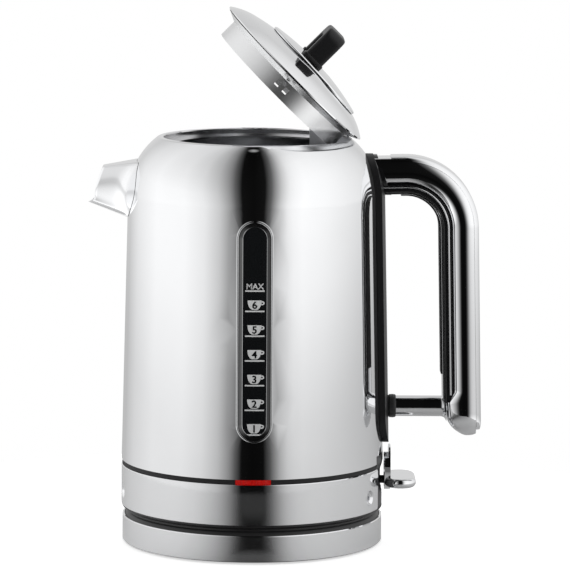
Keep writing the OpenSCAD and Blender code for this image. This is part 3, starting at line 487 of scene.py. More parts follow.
# height and width shares of the section's flat top and its corner
SPOUT_CORNER = [(1.0, 0.0), (1.0, 0.3), (1.0, 0.6), (1.0, 0.84), (0.997, 0.92), (0.985, 0.965)]
SIDE_TOP, SIDE_ROUND, SIDE_STEPS, ROUND_STEPS, ROUND_POWER = 0.94, 0.10, 24, 12, 0.8


def spout_side(h):
    """Width share of the section at a height share"""
    return 0.62 + 0.38 * h + 0.04 * math.sin(math.pi * h)


def spout_outline():
    """Height and width shares round a section, from its top middle round and back"""
    half = SPOUT_CORNER + [(0.965, spout_side(0.965))]
    for i in range(SIDE_STEPS + 1):
        h = SIDE_TOP - (SIDE_TOP - SIDE_ROUND) * i / SIDE_STEPS
        half.append((h, spout_side(h)))
    for i in range(1, ROUND_STEPS):
        a = math.pi / 2 * i / ROUND_STEPS
        h = SIDE_ROUND * (1 - math.sin(a) ** ROUND_POWER)
        half.append((h, spout_side(h) * math.cos(a) ** ROUND_POWER))
    half.append((0.0, 0.0))
    return half + [(h, -y) for h, y in half[-2:0:-1]]


def on_root(y, z):
    """A point on the spout's side of the wall, a gap outside it"""
    r = wall_r(z) + ROOT_GAP
    return Vector((-math.sqrt(r * r - y * y), y, z))


def spout_point(h, y, s, t):
    """A point of the skin, t inside its outer face; s runs from the wall (0) to the mouth (1)"""
    z = SPOUT_LOW + t + (SPOUT_TOP - SPOUT_LOW - 2 * t) * h
    plain = (ROOT_W - t) * y
    flare = 0 if t > 0 or y == 0 else math.copysign(FLARE_W * math.sin(math.pi * (1 - h)), y)
    root = on_root(plain, z)
    seam = on_root(plain + flare, z)
    m = t / LIP_LONG + h * (1 - 2 * t / LIP_LONG)
    hollow = LIP_HOLLOW * m / HOLLOW_AT * math.exp(1 - m / HOLLOW_AT)
    mouth = Vector((LIP_LOW[0] + (LIP_HIGH[0] - LIP_LOW[0]) * m + hollow, (LIP_W - t) * y,
                    LIP_LOW[1] + (LIP_HIGH[1] - LIP_LOW[1]) * m))
    fade = math.exp(-s * FLARE_FADE) * (1 - s)
    return root * (1 - s) + mouth * s + (seam - root) * fade


def spout_skin():
    """Thin beak: its outer face, the rolled edge of its mouth and its inner face"""
    outline = spout_outline()
    steps = [(i / SPOUT_STEPS) ** 1.6 for i in range(SPOUT_STEPS + 1)]
    outer = [[spout_point(h, y, s, 0) for h, y in outline] for s in steps]
    roll = [spout_point(h, y, 1.0, SPOUT_T / 2) + Vector(LIP_ROLL) for h, y in outline]
    inner = [[spout_point(h, y, s, SPOUT_T) for h, y in outline] for s in reversed(steps)]
    return ring_tube(outer + [roll] + inner)


# ---------------------------------------------------------------- handle bar

REF_Z, LEAN = 140.0, math.atan((FOOT_R - WAIST_R) / (WAIST_Z - FOOT_Z))
BEND_P, BEND_Q, LEG_DROP = 15.3, 46.7, 1.2
# distances from the middle of the bend, out to the faces of the bar
BAR_IN, BAR_MID, BAR_OUT, BAR_SEAM, BAR_SIDE = 26.2, 33.9, 42.95, 40.1, 12.0
SEAM_GAP, SEAM_LAP, JOINT_OUT = 0.12, 0.6, 42.0
# power and bulge of the two half ovals of the bar's section
OVAL_OUT, OVAL_IN, OVAL_LEAST, OVAL_POINTS = (1.0, 5.5), (0.84, 5.8), 0.42, 64
CORE_IN, CORE_SIDE = 21.65, 10.2
BEAD_AT, BEAD_W, BEAD_T = 25.05, 0.62, 0.75
TOE_Z, TOE_TIP, TOE_START, TOE_POWER, TOE_LEAST = 63.25, 63.2, 79, 2.6, 0.004
TOE_NEAR = [(TOE_Z, 35.6), (63.5, 33.4), (64.4, 31.6), (65.9, 29.4), (67.5, 27.3), (69.6, 25.3),
            (72.5, 23.4), (75.0, 22.6), (84.5, 22.0), (86.5, 23.2), (90.5, BAR_IN)]
TOE_FAR = [(TOE_Z, 36.4), (63.6, 38.4), (64.8, 40.4), (66.0, 41.5), (67.6, 42.3), (69.5, 42.8),
           (72.0, BAR_OUT)]
# steps of the top leg, out from the bend; the strip starts at STRIP_U
TOP_STEPS, STRIP_U = (22.0, 21.0, 17.0, 12.0, 8.05, 8.0, 4.0), 8
JOINT_X, JOINT_Z, JOINT_SLANT = 72.85, 229.7, math.tan(math.radians(19.6))
BEND_STEPS = 40
# heights between which the leg is cut into 6, 12 and 22 steps
LEG_LOW, CURL_Z = 92, 74
# stand-ins for a height: the bar's plain section, and the one with no strip
PLAIN_Z, STRIPLESS_Z = 200.0, 300.0


def handle_point(p, q, y):
    """World place of a point of the handle's leaning frame"""
    c, s = math.cos(LEAN), math.sin(LEAN)
    return wall_r(REF_Z) + p * c - q * s, y, REF_Z + p * s + q * c


def between(table, z):
    """Value at z from a table of (z, value), straight between its rows"""
    if z <= table[0][0]:
        return table[0][1]
    for (z0, v0), (z1, v1) in zip(table, table[1:]):
        if z <= z1:
            return v0 + (v1 - v0) * (z - z0) / (z1 - z0)
    return table[-1][1]


def bar_loop(z):
    """The bar's section at a height, as (bend radius, y): two half ovals side by side"""
    low, high, wide = between(TOE_NEAR, z), between(TOE_FAR, z), bar_width(z)
    least = (high - low) * OVAL_LEAST
    middle = min(max(BAR_MID, low + least), high - least)
    out = []
    for i in range(OVAL_POINTS):
        a = 2 * math.pi * (i + 0.5) / OVAL_POINTS
        reach = high - middle if math.cos(a) > 0 else middle - low
        power, bulge = OVAL_OUT if math.cos(a) > 0 else OVAL_IN
        bulge = bulge * wide / BAR_SIDE
        y = bulge * math.copysign(abs(math.sin(a)) ** power, math.sin(a))
        out.append((middle + reach * math.copysign(abs(math.cos(a)) ** power, math.cos(a)),
                    y + math.copysign(wide - bulge, y)))
    return out


def along_handle(loop_at, top_leg, end_z, joint=False):
    """Rings of a section swept along the handle, down to a height"""
    rings = []
    for u in [u for u in TOP_STEPS if u <= top_leg]:
        loop = loop_at(STRIPLESS_Z if u > STRIP_U else PLAIN_Z)
        rings.append([handle_point(BEND_P - u, BEND_Q + rho, y) for rho, y in loop])
    if joint:
        rings[0] = [(JOINT_X - (z - JOINT_Z) * JOINT_SLANT, y, z) for x, y, z in rings[0]]
    plain = loop_at(PLAIN_Z)
    for i in range(BEND_STEPS + 1):
        a = math.pi / 2 * (1 - i / BEND_STEPS)
        rings.append([handle_point(BEND_P + rho * math.cos(a), BEND_Q + rho * math.sin(a), y)
                      for rho, y in plain])
    bend_z = REF_Z + BEND_Q
    heights = [bend_z + (LEG_LOW - bend_z) * k / 6 for k in range(1, 7)]
    heights += [LEG_LOW - (LEG_LOW - CURL_Z) * k / 12 for k in range(1, 13)]
    heights += [CURL_Z - (CURL_Z - TOE_Z) * math.sin(math.pi / 2 * k / 22) for k in range(1, 23)]
    for z in [z for z in heights if z >= end_z]:
        rings.append([handle_point(BEND_P + rho, z - LEG_DROP - REF_Z, y) for rho, y in loop_at(z)])
    return rings


def bar_width(z):
    """Half width of the bar, which narrows round its toe"""
    round_toe = (max(TOE_START - z, 0) / (TOE_START - TOE_TIP)) ** TOE_POWER
    return BAR_SIDE * math.sqrt(max(1 - round_toe, TOE_LEAST))


def bar_skin():
    """Polished bar: slanted joint, bend, leg and rounded toe, flat where the back strip lies"""
    def section(z):
        flat = BAR_SEAM - SEAM_GAP if z < STRIPLESS_Z else JOINT_OUT
        return [(min(rho, flat), y) for rho, y in bar_loop(z)]
    return capped_tube(along_handle(section, 22.0, TOE_Z, joint=True))


def strip_skin():
    """Strip that closes the back of the bar, crowned on from its sides"""
    def section(z):
        return [(max(rho, BAR_SEAM), y) for rho, y in bar_loop(z) if rho > BAR_SEAM - SEAM_LAP]
    full = len(section(PLAIN_Z))
    return capped_tube([ring for ring in along_handle(section, STRIP_U, 65.4) if len(ring) == full])


def rail_skin(near, far, side, soft, crisp, steps, end_z):
    """A rail on the bar's inner side, from the joint down to a height"""
    corners = [(near, -side, soft), (far, -side, crisp), (far, side, crisp), (near, side, soft)]
    loop = [tuple(corner) for corner in rounded(corners, steps)]
    return capped_tube(along_handle(lambda z: loop, 21.0, end_z, joint=True))


def core_skin():
    """Black rail on the inner side of the bar"""
    return rail_skin(CORE_IN, BAR_IN + 0.3, CORE_SIDE, 1.2, 0.2, steps=4, end_z=84.0)


def inner_strip_skin():
    """Thin bright strip between the rail and the grip's pad"""
    return rail_skin(20.5, 21.5, 8.0, 0.3, 0.1, steps=3, end_z=86.0)


STRUT_Z, STRUT_R, STRUT_DEEP = 80.6, 6.15, 22.6
# distance before the strut's end and growth in radius
STRUT_FLARE = [(3.4, 0.0), (2.4, 0.12), (1.5, 0.45), (0.8, 1.0), (0.2, 1.9), (-0.3, 2.9)]


def rod_skin(profile, count=64):
    """A round piece along X at the strut's height, from rows of (x, radius)"""
    return capped_tube([[(x, r * math.cos(2 * math.pi * i / count),
                          STRUT_Z + r * math.sin(2 * math.pi * i / count))
                         for i in range(count)] for x, r in profile])


def strut_skin(start):
    """Lower strut, which widens where it runs into the bar"""
    end = handle_point(BEND_P + STRUT_DEEP, STRUT_Z - LEG_DROP - REF_Z, 0)[0]
    return rod_skin([(start, STRUT_R), ((start + end) / 2, STRUT_R)]
                    + [(end - back, STRUT_R + grow) for back, grow in STRUT_FLARE])


def strut_collar_skin(x0, x1):
    """Black collar between the plate and the strut"""
    r = STRUT_R + 0.7
    return rod_skin([(x0, r - 0.5), (x0 + 0.5, r - 0.45), (x0 + 1.0, r), (x0 + 3.0, r + 0.12),
                     (x1 - 1.0, r), (x1 - 0.4, r - 0.12), (x1 - 0.05, r - 0.45), (x1, r - 0.7)])


def bead_skin(side):
    """Bright bead let into one side of the rail"""
    angles = [2 * math.pi * (i + 0.5) / 16 for i in range(16)]
    loop = [(BEAD_AT + BEAD_W * math.cos(a), side * (CORE_SIDE + 0.1) + BEAD_T * math.sin(a))
            for a in angles]
    return capped_tube(along_handle(lambda z: loop, 17.0, 88.0))


# ---------------------------------------------------------------- lid

# the lid's own frame has its origin on the axis, under the crown; it stands open about its hinge
HINGE_X, HINGE_Z, LID_OPEN, LID_SHIFT, LID_RISE = 58.5, 233, 45, 2.3, 7
LID_AT = (Matrix.Translation(Vector((HINGE_X, 0, HINGE_Z)) * MM)
          @ Matrix.Rotation(math.radians(LID_OPEN), 4, "Y")
          @ Matrix.Translation(Vector((LID_SHIFT - HINGE_X, 0, LID_RISE)) * MM))
CROWN_R, CROWN_Z = 162.72, -150.52
PAD_X, PAD_L, PAD_W, PAD_T = 6.8, 34.2, 25.0, 1.6
# distance in from the pad's outline and height over the crown
PAD_EDGE = [(0.5, 0.15), (0.12, 0.35), (0.0, 0.75), (0.06, 1.1), (0.3, 1.42), (0.75, 1.57),
            (1.5, PAD_T)]


def on_crown(x, y, off):
    """A point off above the lid's crown, in the lid's frame"""
    return x, y, CROWN_Z + math.sqrt((CROWN_R + off) ** 2 - x * x - y * y)


def stadium_ring(inset, off, count=96):
    """The pad's outline, moved inwards, on the crown"""
    r = PAD_W - inset
    reach = PAD_L - PAD_W
    out = []
    for i in range(count):
        a = 2 * math.pi * (i + 0.5) / count
        x = r * math.cos(a)
        out.append(on_crown(PAD_X + x + math.copysign(reach, x), r * math.sin(a), off))
    return out


def pad_skin():
    """The knob's raised seat: a plate with a rolled edge that comes down to the lid"""
    top = [(inset, PAD_T) for inset in (4, 8, 12, 16, 20, 24.9)]
    return capped_tube([stadium_ring(inset, off) for inset, off in PAD_EDGE + top])


KNOB_X, KNOB_T, KNOB_W, KNOB_TOP, KNOB_LEG, KNOB_BAR = 1.0, 12.5, 38.0, 35.0, 8.0, 7.5
KNOB_OUT, KNOB_IN = 6, 2.5  # radii of the bridge's corners
# height and growth of the feet and legs
KNOB_FEET = [(13.9, 0.8), (14.4, 0.8), (14.8, 0.45), (15.1, 0.0), (18.0, 0.0), (21.0, 0.0),
             (24.0, 0.0)]
KNOB_SOFT, KNOB_POINTS = 0.36, 40


def knob_path():
    """Rows of (outer point, inner point, growth) from one foot over the bridge to the other"""
    out_y, out_z = KNOB_W / 2 - KNOB_OUT, KNOB_TOP - KNOB_OUT
    in_y, in_z = KNOB_W / 2 - KNOB_LEG - KNOB_IN, KNOB_TOP - KNOB_BAR - KNOB_IN
    path = [((KNOB_W / 2 + grow, z), (KNOB_W / 2 - KNOB_LEG - grow, z), grow)
            for z, grow in KNOB_FEET]
    for k in range(9):
        c, s = math.cos(math.pi / 2 * k / 8), math.sin(math.pi / 2 * k / 8)
        path.append(((out_y + KNOB_OUT * c, out_z + KNOB_OUT * s),
                     (in_y + KNOB_IN * c, in_z + KNOB_IN * s), 0.0))
    for k in range(1, 5):
        path.append(((out_y * (1 - k / 4), KNOB_TOP),
                     (in_y * (1 - k / 4), KNOB_TOP - KNOB_BAR), 0.0))
    return path + [((-o[0], o[1]), (-i[0], i[1]), grow) for o, i, grow in reversed(path[:-1])]


def knob_skin():
    """Bridge-shaped handle of the lid with soft edges and stepped feet on the seat"""
    path = knob_path()
    rings = []
    for n, (o, i, grow) in enumerate(path):
        ring = []
        for k in range(KNOB_POINTS):
            a = 2 * math.pi * (k + 0.5) / KNOB_POINTS
            u, v = [math.copysign(abs(w) ** KNOB_SOFT, w) for w in (math.cos(a), math.sin(a))]
            y = (o[0] + i[0]) / 2 + (o[0] - i[0]) / 2 * u
            z = (o[1] + i[1]) / 2 + (o[1] - i[1]) / 2 * u
            x = KNOB_X + (KNOB_T / 2 + grow) * v
            if n in (0, len(path) - 1):
                z = on_crown(x, y, PAD_T + 0.1)[2]
            ring.append((x, y, z))
        rings.append(ring)
    return capped_tube(rings)


# ---------------------------------------------------------------- marks printed on the window

WINDOW_X, WINDOW_Z0, WINDOW_Z1, BEZEL_W, LENS_W = 1.0, 71.0, 199.3, 10.6, 6.85
LENS_OFF, INK, SINK = 0.25, 0.07, 0.03
# (distance in from the frame's outline, height over the wall) of its bead and groove
BEZEL_BEAD = [(0, 0.12), (0, 0.42), (0.1, 0.66), (0.3, 0.8), (0.5, 0.66), (0.6, 0.42), (0.85, 0.42),
              (0.95, 0.8), (1.1, 0.95), (1.3, 0.98), (1.5, 0.94), (1.62, 0.91)]
# (distance out from the lens, height over the wall) of the face that slopes in to it
BEZEL_SLOPE = [(0.3, 0.50), (0.12, 0.455), (0.03, 0.41), (0, 0.3), (0, 0.05)]
LENS_EDGE = LENS_W - 0.02
LINE_X, LINE_HALF = (-4.5, 6.6), 0.42
CUP_X, CUP_Z, CUP_FOOT, CUP_ROUND = (-3.1, 4.9), (0.95, 6.3), 0.36, 0.62
EAR_X, EAR_Z, EAR_R, EAR_FLAT = 5.3, 4.75, (0.5, 1.3), 0.92
FIGURE_SIZE, FIGURE_X, FIGURE_Z, FIGURE_BOLD = 5.9, 0.95, 1.6, 0.04
FIGURE_OFF = LENS_OFF + INK + SINK
WORD_SIZE, WORD_X, WORD_Z = 4.7, 1.05, 1.05
# shifts at which each word or figure is laid again, for heavier strokes
HEAVY = [(-0.12, 0.0), (0.12, 0.0), (0.0, 0.1), (0.0, -0.1)]


def window_ring(half, off, count=32):
    """Outline of the window at a half width, as a closed ring on the wall"""
    out = []
    for end, middle in ((1, WINDOW_Z1 - BEZEL_W), (-1, WINDOW_Z0 + BEZEL_W)):
        for i in range(count + 1):
            a = math.pi * i / count if end > 0 else math.pi * (1 + i / count)
            out.append(on_front(WINDOW_X + half * math.cos(a), middle + half * math.sin(a), off))
    return out


def bezel_skin():
    """Frame of the window: an outer bead, a groove, and a face that slopes in to the lens"""
    rings = [window_ring(BEZEL_W - x, off) for x, off in BEZEL_BEAD]
    return ring_tube(rings + [window_ring(LENS_W + x, off) for x, off in BEZEL_SLOPE])


def lens_skin():
    """Smoked window, level with the foot of its frame"""
    rings = [window_ring(half, LENS_OFF) for half in (LENS_EDGE, LENS_W - 1.2, 4.2, 2.6, 1.2, 0.1)]
    return capped_tube([window_ring(LENS_EDGE, 0.1)] + rings)


def sheet_patch(rows):
    """A thin patch on the window from rows of (x, z) points, as points and quads"""
    count = len(rows[0])
    size = len(rows) * count
    last = size - count
    verts = [on_front(x, z, LENS_OFF + lift)
             for lift in (INK, -SINK) for row in rows for x, z in row]
    faces = grid_faces(len(rows), count) + grid_faces(len(rows), count, start=size)
    edge = [*range(count), *range(2 * count - 1, size, count), *range(size - 2, last - 1, -1),
            *range(last - count, 0, -count)]
    for a, b in zip(edge, edge[1:] + edge[:1]):
        faces.append((a, b, b + size, a + size))
    return verts, faces


def line_rows(level):
    """Rows of the line under a mark"""
    x0, x1 = LINE_X
    return [[(x0 + (x1 - x0) * i / 14, z) for i in range(15)]
            for z in (level - LINE_HALF, level, level + LINE_HALF)]


def cup_rows(level):
    """Rows of a teacup's side view: nearly straight at the brim, round below"""
    middle, wide = sum(CUP_X) / 2, (CUP_X[1] - CUP_X[0]) / 2
    rows = []
    for k in range(13):
        t = k / 12
        half = wide * (CUP_FOOT + (1 - CUP_FOOT) * math.sin(math.pi / 2 * t ** CUP_ROUND))
        z = level + CUP_Z[0] + (CUP_Z[1] - CUP_Z[0]) * t
        rows.append([(middle + half * (i / 6 - 1), z) for i in range(13)])
    return rows


def ear_rows(level):
    """Rows of the cup's ear, a small ring"""
    angles = [math.radians(a) for a in range(-140, 141, 20)]
    return [[(EAR_X + r * math.cos(a), level + EAR_Z + r * EAR_FLAT * math.sin(a)) for a in angles]
            for r in EAR_R]


def letters(text, size, x, z, off, bold):
    """Generic figures or letters, centred at x with their foot at z, laid on the window"""
    curve = bpy.data.curves.new("letters", "FONT")
    curve.body = text
    curve.size = size
    curve.offset = bold
    curve.align_x = "CENTER"
    curve.resolution_u = 6
    holder = bpy.data.objects.new("letters", curve)
    bpy.context.scene.collection.objects.link(holder)
    bpy.context.view_layer.update()
    depsgraph = bpy.context.evaluated_depsgraph_get()
    flat = bpy.data.meshes.new_from_object(holder.evaluated_get(depsgraph))
    work = bmesh.new()
    work.from_mesh(flat)
    bmesh.ops.triangulate(work, faces=work.faces)
    work.verts.index_update()
    count = len(work.verts)
    verts = [on_front(x + v.co.x, z + v.co.y, off + lift)
             for lift in (INK, -SINK) for v in work.verts]
    sheet = [tuple(v.index for v in f.verts) for f in work.faces]
    faces = sheet + [tuple(i + count for i in face) for face in sheet]
    for edge in work.edges:
        if edge.is_boundary:
            a, b = (v.index for v in edge.verts)
            faces.append((a, b, b + count, a + count))
    work.free()
    bpy.data.objects.remove(holder)
    bpy.data.meshes.remove(flat)
    bpy.data.curves.remove(curve)
    return verts, faces


def heavy_letters(text, size, x, z, off, bold):
    """The same letters laid at each of the HEAVY shifts"""
    return [letters(text, size, x + dx, z + dz, off, bold) for dx, dz in HEAVY]


def join_patches(patches):
    """Points and faces of several patches in one mesh"""
    verts, faces = [], []
    for some_verts, some_faces in patches:
        start = len(verts)
        verts += some_verts
        faces += [tuple(i + start for i in f) for f in some_faces]
    return verts, faces


# ---------------------------------------------------------------- operators

class KETTLE_OT_finishes(bpy.types.Operator):
    """Build the finishes and put them on every solid of the kettle"""
    bl_idname = "kettle.finishes"
    bl_label = "Finishes"

    def execute(self, context):
        build_finishes()
        nodes = frame["nodes"]
        slots = {s["node"]: s["material_slot"] for s in frame["record"]["subparts"]}
        for name, obj in nodes.items():
            dress(obj, slots[name])
        dress(nodes["handle_plate"], "black_satin")
        dress(nodes["neck_ring"], "inner_steel")

        def inside(face):
            outwards = Vector((face.center.x, face.center.y, 0)).normalized()
            return face.normal.dot(outwards) + face.normal.z < -0.2

        dress_some(nodes["body_shell"].data, "inner_steel", inside)
        return {"FINISHED"}


class KETTLE_OT_window_marks(bpy.types.Operator):
    """Build the window with its frame, its cup marks, their figures and the fill line"""
    bl_idname = "kettle.window_marks"
    bl_label = "Window Marks"

    def execute(self, context):
        marks = context.scene.kettle_marks
        pale, dark = [], []
        for n in range(marks.cups):
            level = marks.first_line + marks.spacing * n
            pale += [sheet_patch(rows(level)) for rows in (line_rows, cup_rows, ear_rows)]
            dark += heavy_letters(str(n + 1), FIGURE_SIZE, FIGURE_X, level + FIGURE_Z, FIGURE_OFF,
                                  FIGURE_BOLD)
        pale.append(sheet_patch(line_rows(marks.full_line)))
        pale += heavy_letters("MAX", WORD_SIZE, WORD_X, marks.full_line + WORD_Z, LENS_OFF, 0.0)
        new_piece("bezel_skin", *bezel_skin(), "kettle", "polished_steel", sharp=24,
                  finish="frame_steel", replaced=("window_bezel",))
        new_piece("lens_skin", *lens_skin(), "kettle", "smoked_lens", sharp=60,
                  replaced=("window_lens", "window_gasket"))
        new_piece("window_marks", *join_patches(pale), "kettle", "smoked_lens", sharp=40,
                  finish="print")
        new_piece("window_figures", *join_patches(dark), "kettle", "smoked_lens", sharp=40)
        return {"FINISHED"}


class KETTLE_OT_spout(bpy.types.Operator):
    """Build the smooth skin of the spout"""
    bl_idname = "kettle.spout"
    bl_label = "Spout"

    def execute(self, context):
        new_piece("spout_skin", *spout_skin(), "kettle", "polished_steel", sharp=50,
                  replaced=("spout",))
        return {"FINISHED"}


class KETTLE_OT_handle(bpy.types.Operator):
    """Build the handle's bar and back strip, its rail with beads, the bright strip and the strut"""
    bl_idname = "kettle.handle"
    bl_label = "Handle"

    def execute(self, context):
        new_piece("bar_skin", *bar_skin(), "kettle", "polished_steel", sharp=40,
                  replaced=("handle_bar",))
        new_piece("strip_skin", *strip_skin(), "kettle", "polished_steel", sharp=40,
                  replaced=("handle_back_strip",))
        new_piece("core_skin", *core_skin(), "kettle", "black_gloss", sharp=35,
                  replaced=("handle_core",))
        new_piece("inner_strip_skin", *inner_strip_skin(), "kettle", "polished_steel", sharp=35,
                  replaced=("handle_inner_strip",))
        collar = [v.co.x / MM for v in frame["nodes"]["strut_collar"].data.vertices]
        new_piece("strut_skin", *strut_skin(max(collar) - 3), "kettle", "polished_steel", sharp=35,
                  replaced=("handle_strut",))
        new_piece("strut_collar_skin", *strut_collar_skin(min(collar), max(collar)), "kettle",
                  "black_plastic", sharp=35, replaced=("strut_collar",))
        beads = join_patches([bead_skin(side) for side in (-1, 1)])
        new_piece("rail_beads", *beads, "kettle", "polished_steel", sharp=60)
        return {"FINISHED"}


class KETTLE_OT_lid(bpy.types.Operator):
    """Build the knob and its raised seat, and give the lid's underside and skirt a satin finish"""
    bl_idname = "kettle.lid"
    bl_label = "Lid"

    def execute(self, context):
        new_piece("pad_skin", *pad_skin(), "lid", "polished_steel", sharp=40, matrix=LID_AT,
                  replaced=("lid_pad",))
        new_piece("knob_skin", *knob_skin(), "lid", "black_gloss", sharp=50, matrix=LID_AT,
                  finish="black_satin", replaced=("lid_knob",))
        dress(frame["nodes"]["lid_skirt"], "skirt_steel")
        inward = LID_AT.to_3x3() @ Vector((0, 0, -1))
        dress_some(frame["nodes"]["lid_dome"].data, "skirt_steel",
                   lambda face: face.normal.dot(inward) > 0.1)
        return {"FINISHED"}


class KETTLE_OT_stage(bpy.types.Operator):
    """Set up the floor, the soft surroundings and the camera"""
    bl_idname = "kettle.stage"
    bl_label = "Stage"

    def execute(self, context):
        settings = context.scene.kettle_stage
        build_floor(settings.floor_size)
        build_surroundings()
        build_camera(settings)
        context.scene.view_settings.view_transform = "Standard"
        return {"FINISHED"}


def heading(w, axis):
    """Share of a turn: 0 behind the kettle, 0.5 at its front by way of the spout, then on to 1"""
    ahead = w.math("MULTIPLY_ADD", w.math("MAXIMUM", axis.outputs["Z"], 0.0), 0.34,
                   w.math("MULTIPLY", axis.outputs["Y"], -1.0))
    turn = w.math("ARCTAN2", axis.outputs["X"], ahead)
    return w.math("MULTIPLY_ADD", turn, 0.5 / math.pi, 0.5)


def both_ways(left, right):
    """Stops of a heading ramp from two lists of (share of half a turn, level)"""
    return ([(0.5 - f / 2, v) for f, v in reversed(left)]
            + [(0.5 + f / 2, v) for f, v in right])


# painted light and shade of the floor, seen only in reflections, and levels of the walls' light,
# from straight ahead (0) to straight behind (1)
PAINTED_FLOOR_LIGHT_LEFT = [(0.0, 0.012), (0.03, 0.03), (0.055, 0.12), (0.081, 0.28), (0.136, 0.56), (0.19, 0.76),
              (0.25, 0.92), (0.31, 0.98), (0.37, 1.0), (0.5, 0.98), (0.67, 0.86), (1.0, 0.55)]
PAINTED_FLOOR_LIGHT_RIGHT = [(0.03, 0.02), (0.055, 0.08), (0.081, 0.21), (0.136, 0.46), (0.19, 0.62),
               (0.25, 0.70), (0.31, 0.72), (0.5, 0.66), (0.67, 0.58), (1.0, 0.55)]
WALL_LEFT = [(0.0, 0.004), (0.055, 0.006), (0.085, 0.13), (0.115, 0.36), (0.17, 0.68), (0.25, 0.96),
             (0.36, 1.12), (0.55, 1.14), (0.72, 0.96), (0.85, 0.70), (1.0, 0.70)]
WALL_RIGHT = [(0.055, 0.006), (0.085, 0.12), (0.115, 0.42), (0.136, 0.66), (0.17, 0.94),
              (0.20, 1.05), (0.25, 1.12), (0.36, 1.08), (0.5, 0.98), (0.72, 0.82), (0.85, 0.66),
              (1.0, 0.70)]
# share of the walls' level, from the horizon (0) to the zenith (1)
FADE_LEFT = [(0.0, 1.0), (0.15, 0.98), (0.37, 0.86), (0.53, 0.78), (0.65, 0.73), (0.8, 0.68),
             (1.0, 0.5)]
FADE_RIGHT = [(0.0, 1.0), (0.37, 0.98), (0.53, 0.94), (0.65, 0.90), (0.75, 0.82), (1.0, 0.5)]
# share of the walls' level below the horizon, from a little under it (0) down
DOWN_LEFT = [(0.0, 1.0), (0.065, 0.97), (0.093, 0.91), (0.122, 0.84), (0.143, 0.79), (0.237, 0.77),
             (0.42, 1.1), (0.72, 1.4), (1.0, 1.4)]
DOWN_RIGHT = [(0.0, 1.04), (0.033, 1.0), (0.065, 0.93), (0.093, 0.82), (0.122, 0.71), (0.143, 0.65),
              (0.237, 0.62), (0.42, 0.8), (0.72, 1.05), (1.0, 1.1)]
# least level of the floor's painted light and shade by half its distance from the kettle's axis, in
# metres
PAINTED_FLOOR_LIGHT_NEAR = [(0.0, 0.20), (0.205, 0.20), (0.25, 0.02), (0.40, 0.02), (0.48, 0.08), (1.0, 0.08)]
TOP_SHARE, TOP_LEVEL = 0.96, 0.45
FLOOR_DROP = -0.0002  # metres


def build_floor(size):
    """A white floor that keeps the kettle's shadow; in reflections it shows painted light and
    shade, darkest straight ahead
    """
    mesh = bpy.data.meshes.new("floor")
    cut = bmesh.new()
    bmesh.ops.create_circle(cut, cap_ends=True, segments=96, radius=size / 2)
    cut.to_mesh(mesh)
    cut.free()
    floor = bpy.data.objects.new("floor", mesh)
    floor.location.z = FLOOR_DROP
    bpy.context.scene.collection.objects.link(floor)
    made = bpy.data.materials.new("White Floor")
    made.use_nodes = True
    tree = made.node_tree
    w = Wiring(tree)
    tree.nodes.remove(tree.nodes["Principled BSDF"])
    place = w.node("ShaderNodeTexCoord")
    axis = w.node("ShaderNodeSeparateXYZ")
    w.link(place.outputs["Object"], axis.inputs[0])
    x, y = axis.outputs["X"], axis.outputs["Y"]
    reach = w.math("SQRT", w.math("ADD", w.math("MULTIPLY", x, x), w.math("MULTIPLY", y, y)))
    # painted light and shade: the floor's colour in reflections only, darkest straight ahead of the
    # kettle, under a glossy coat
    painted_light_and_shade = w.math("MAXIMUM", w.ramp(heading(w, axis), both_ways(PAINTED_FLOOR_LIGHT_LEFT, PAINTED_FLOOR_LIGHT_RIGHT)),
                   w.ramp(w.math("MULTIPLY", reach, 2.0), PAINTED_FLOOR_LIGHT_NEAR))
    lacquer_over_painted_light = w.shader("ShaderNodeMixShader", w.shader("ShaderNodeFresnel", IOR=1.5),
                       w.shader("ShaderNodeBsdfDiffuse", painted_light_and_shade),
                       w.shader("ShaderNodeBsdfGlossy", Color=(0.9, 0.9, 0.9, 1), Roughness=0.18))
    paper = w.shader("ShaderNodeAddShader",
                     w.shader("ShaderNodeBsdfDiffuse", Color=(0.82, 0.82, 0.82, 1)),
                     w.shader("ShaderNodeEmission", Color=(1, 1, 1, 1), Strength=0.62))
    ray = w.node("ShaderNodeLightPath")
    seen = w.shader("ShaderNodeMixShader", ray.outputs["Is Camera Ray"], lacquer_over_painted_light, paper)
    w.link(seen, tree.nodes["Material Output"].inputs["Surface"])
    mesh.materials.append(made)


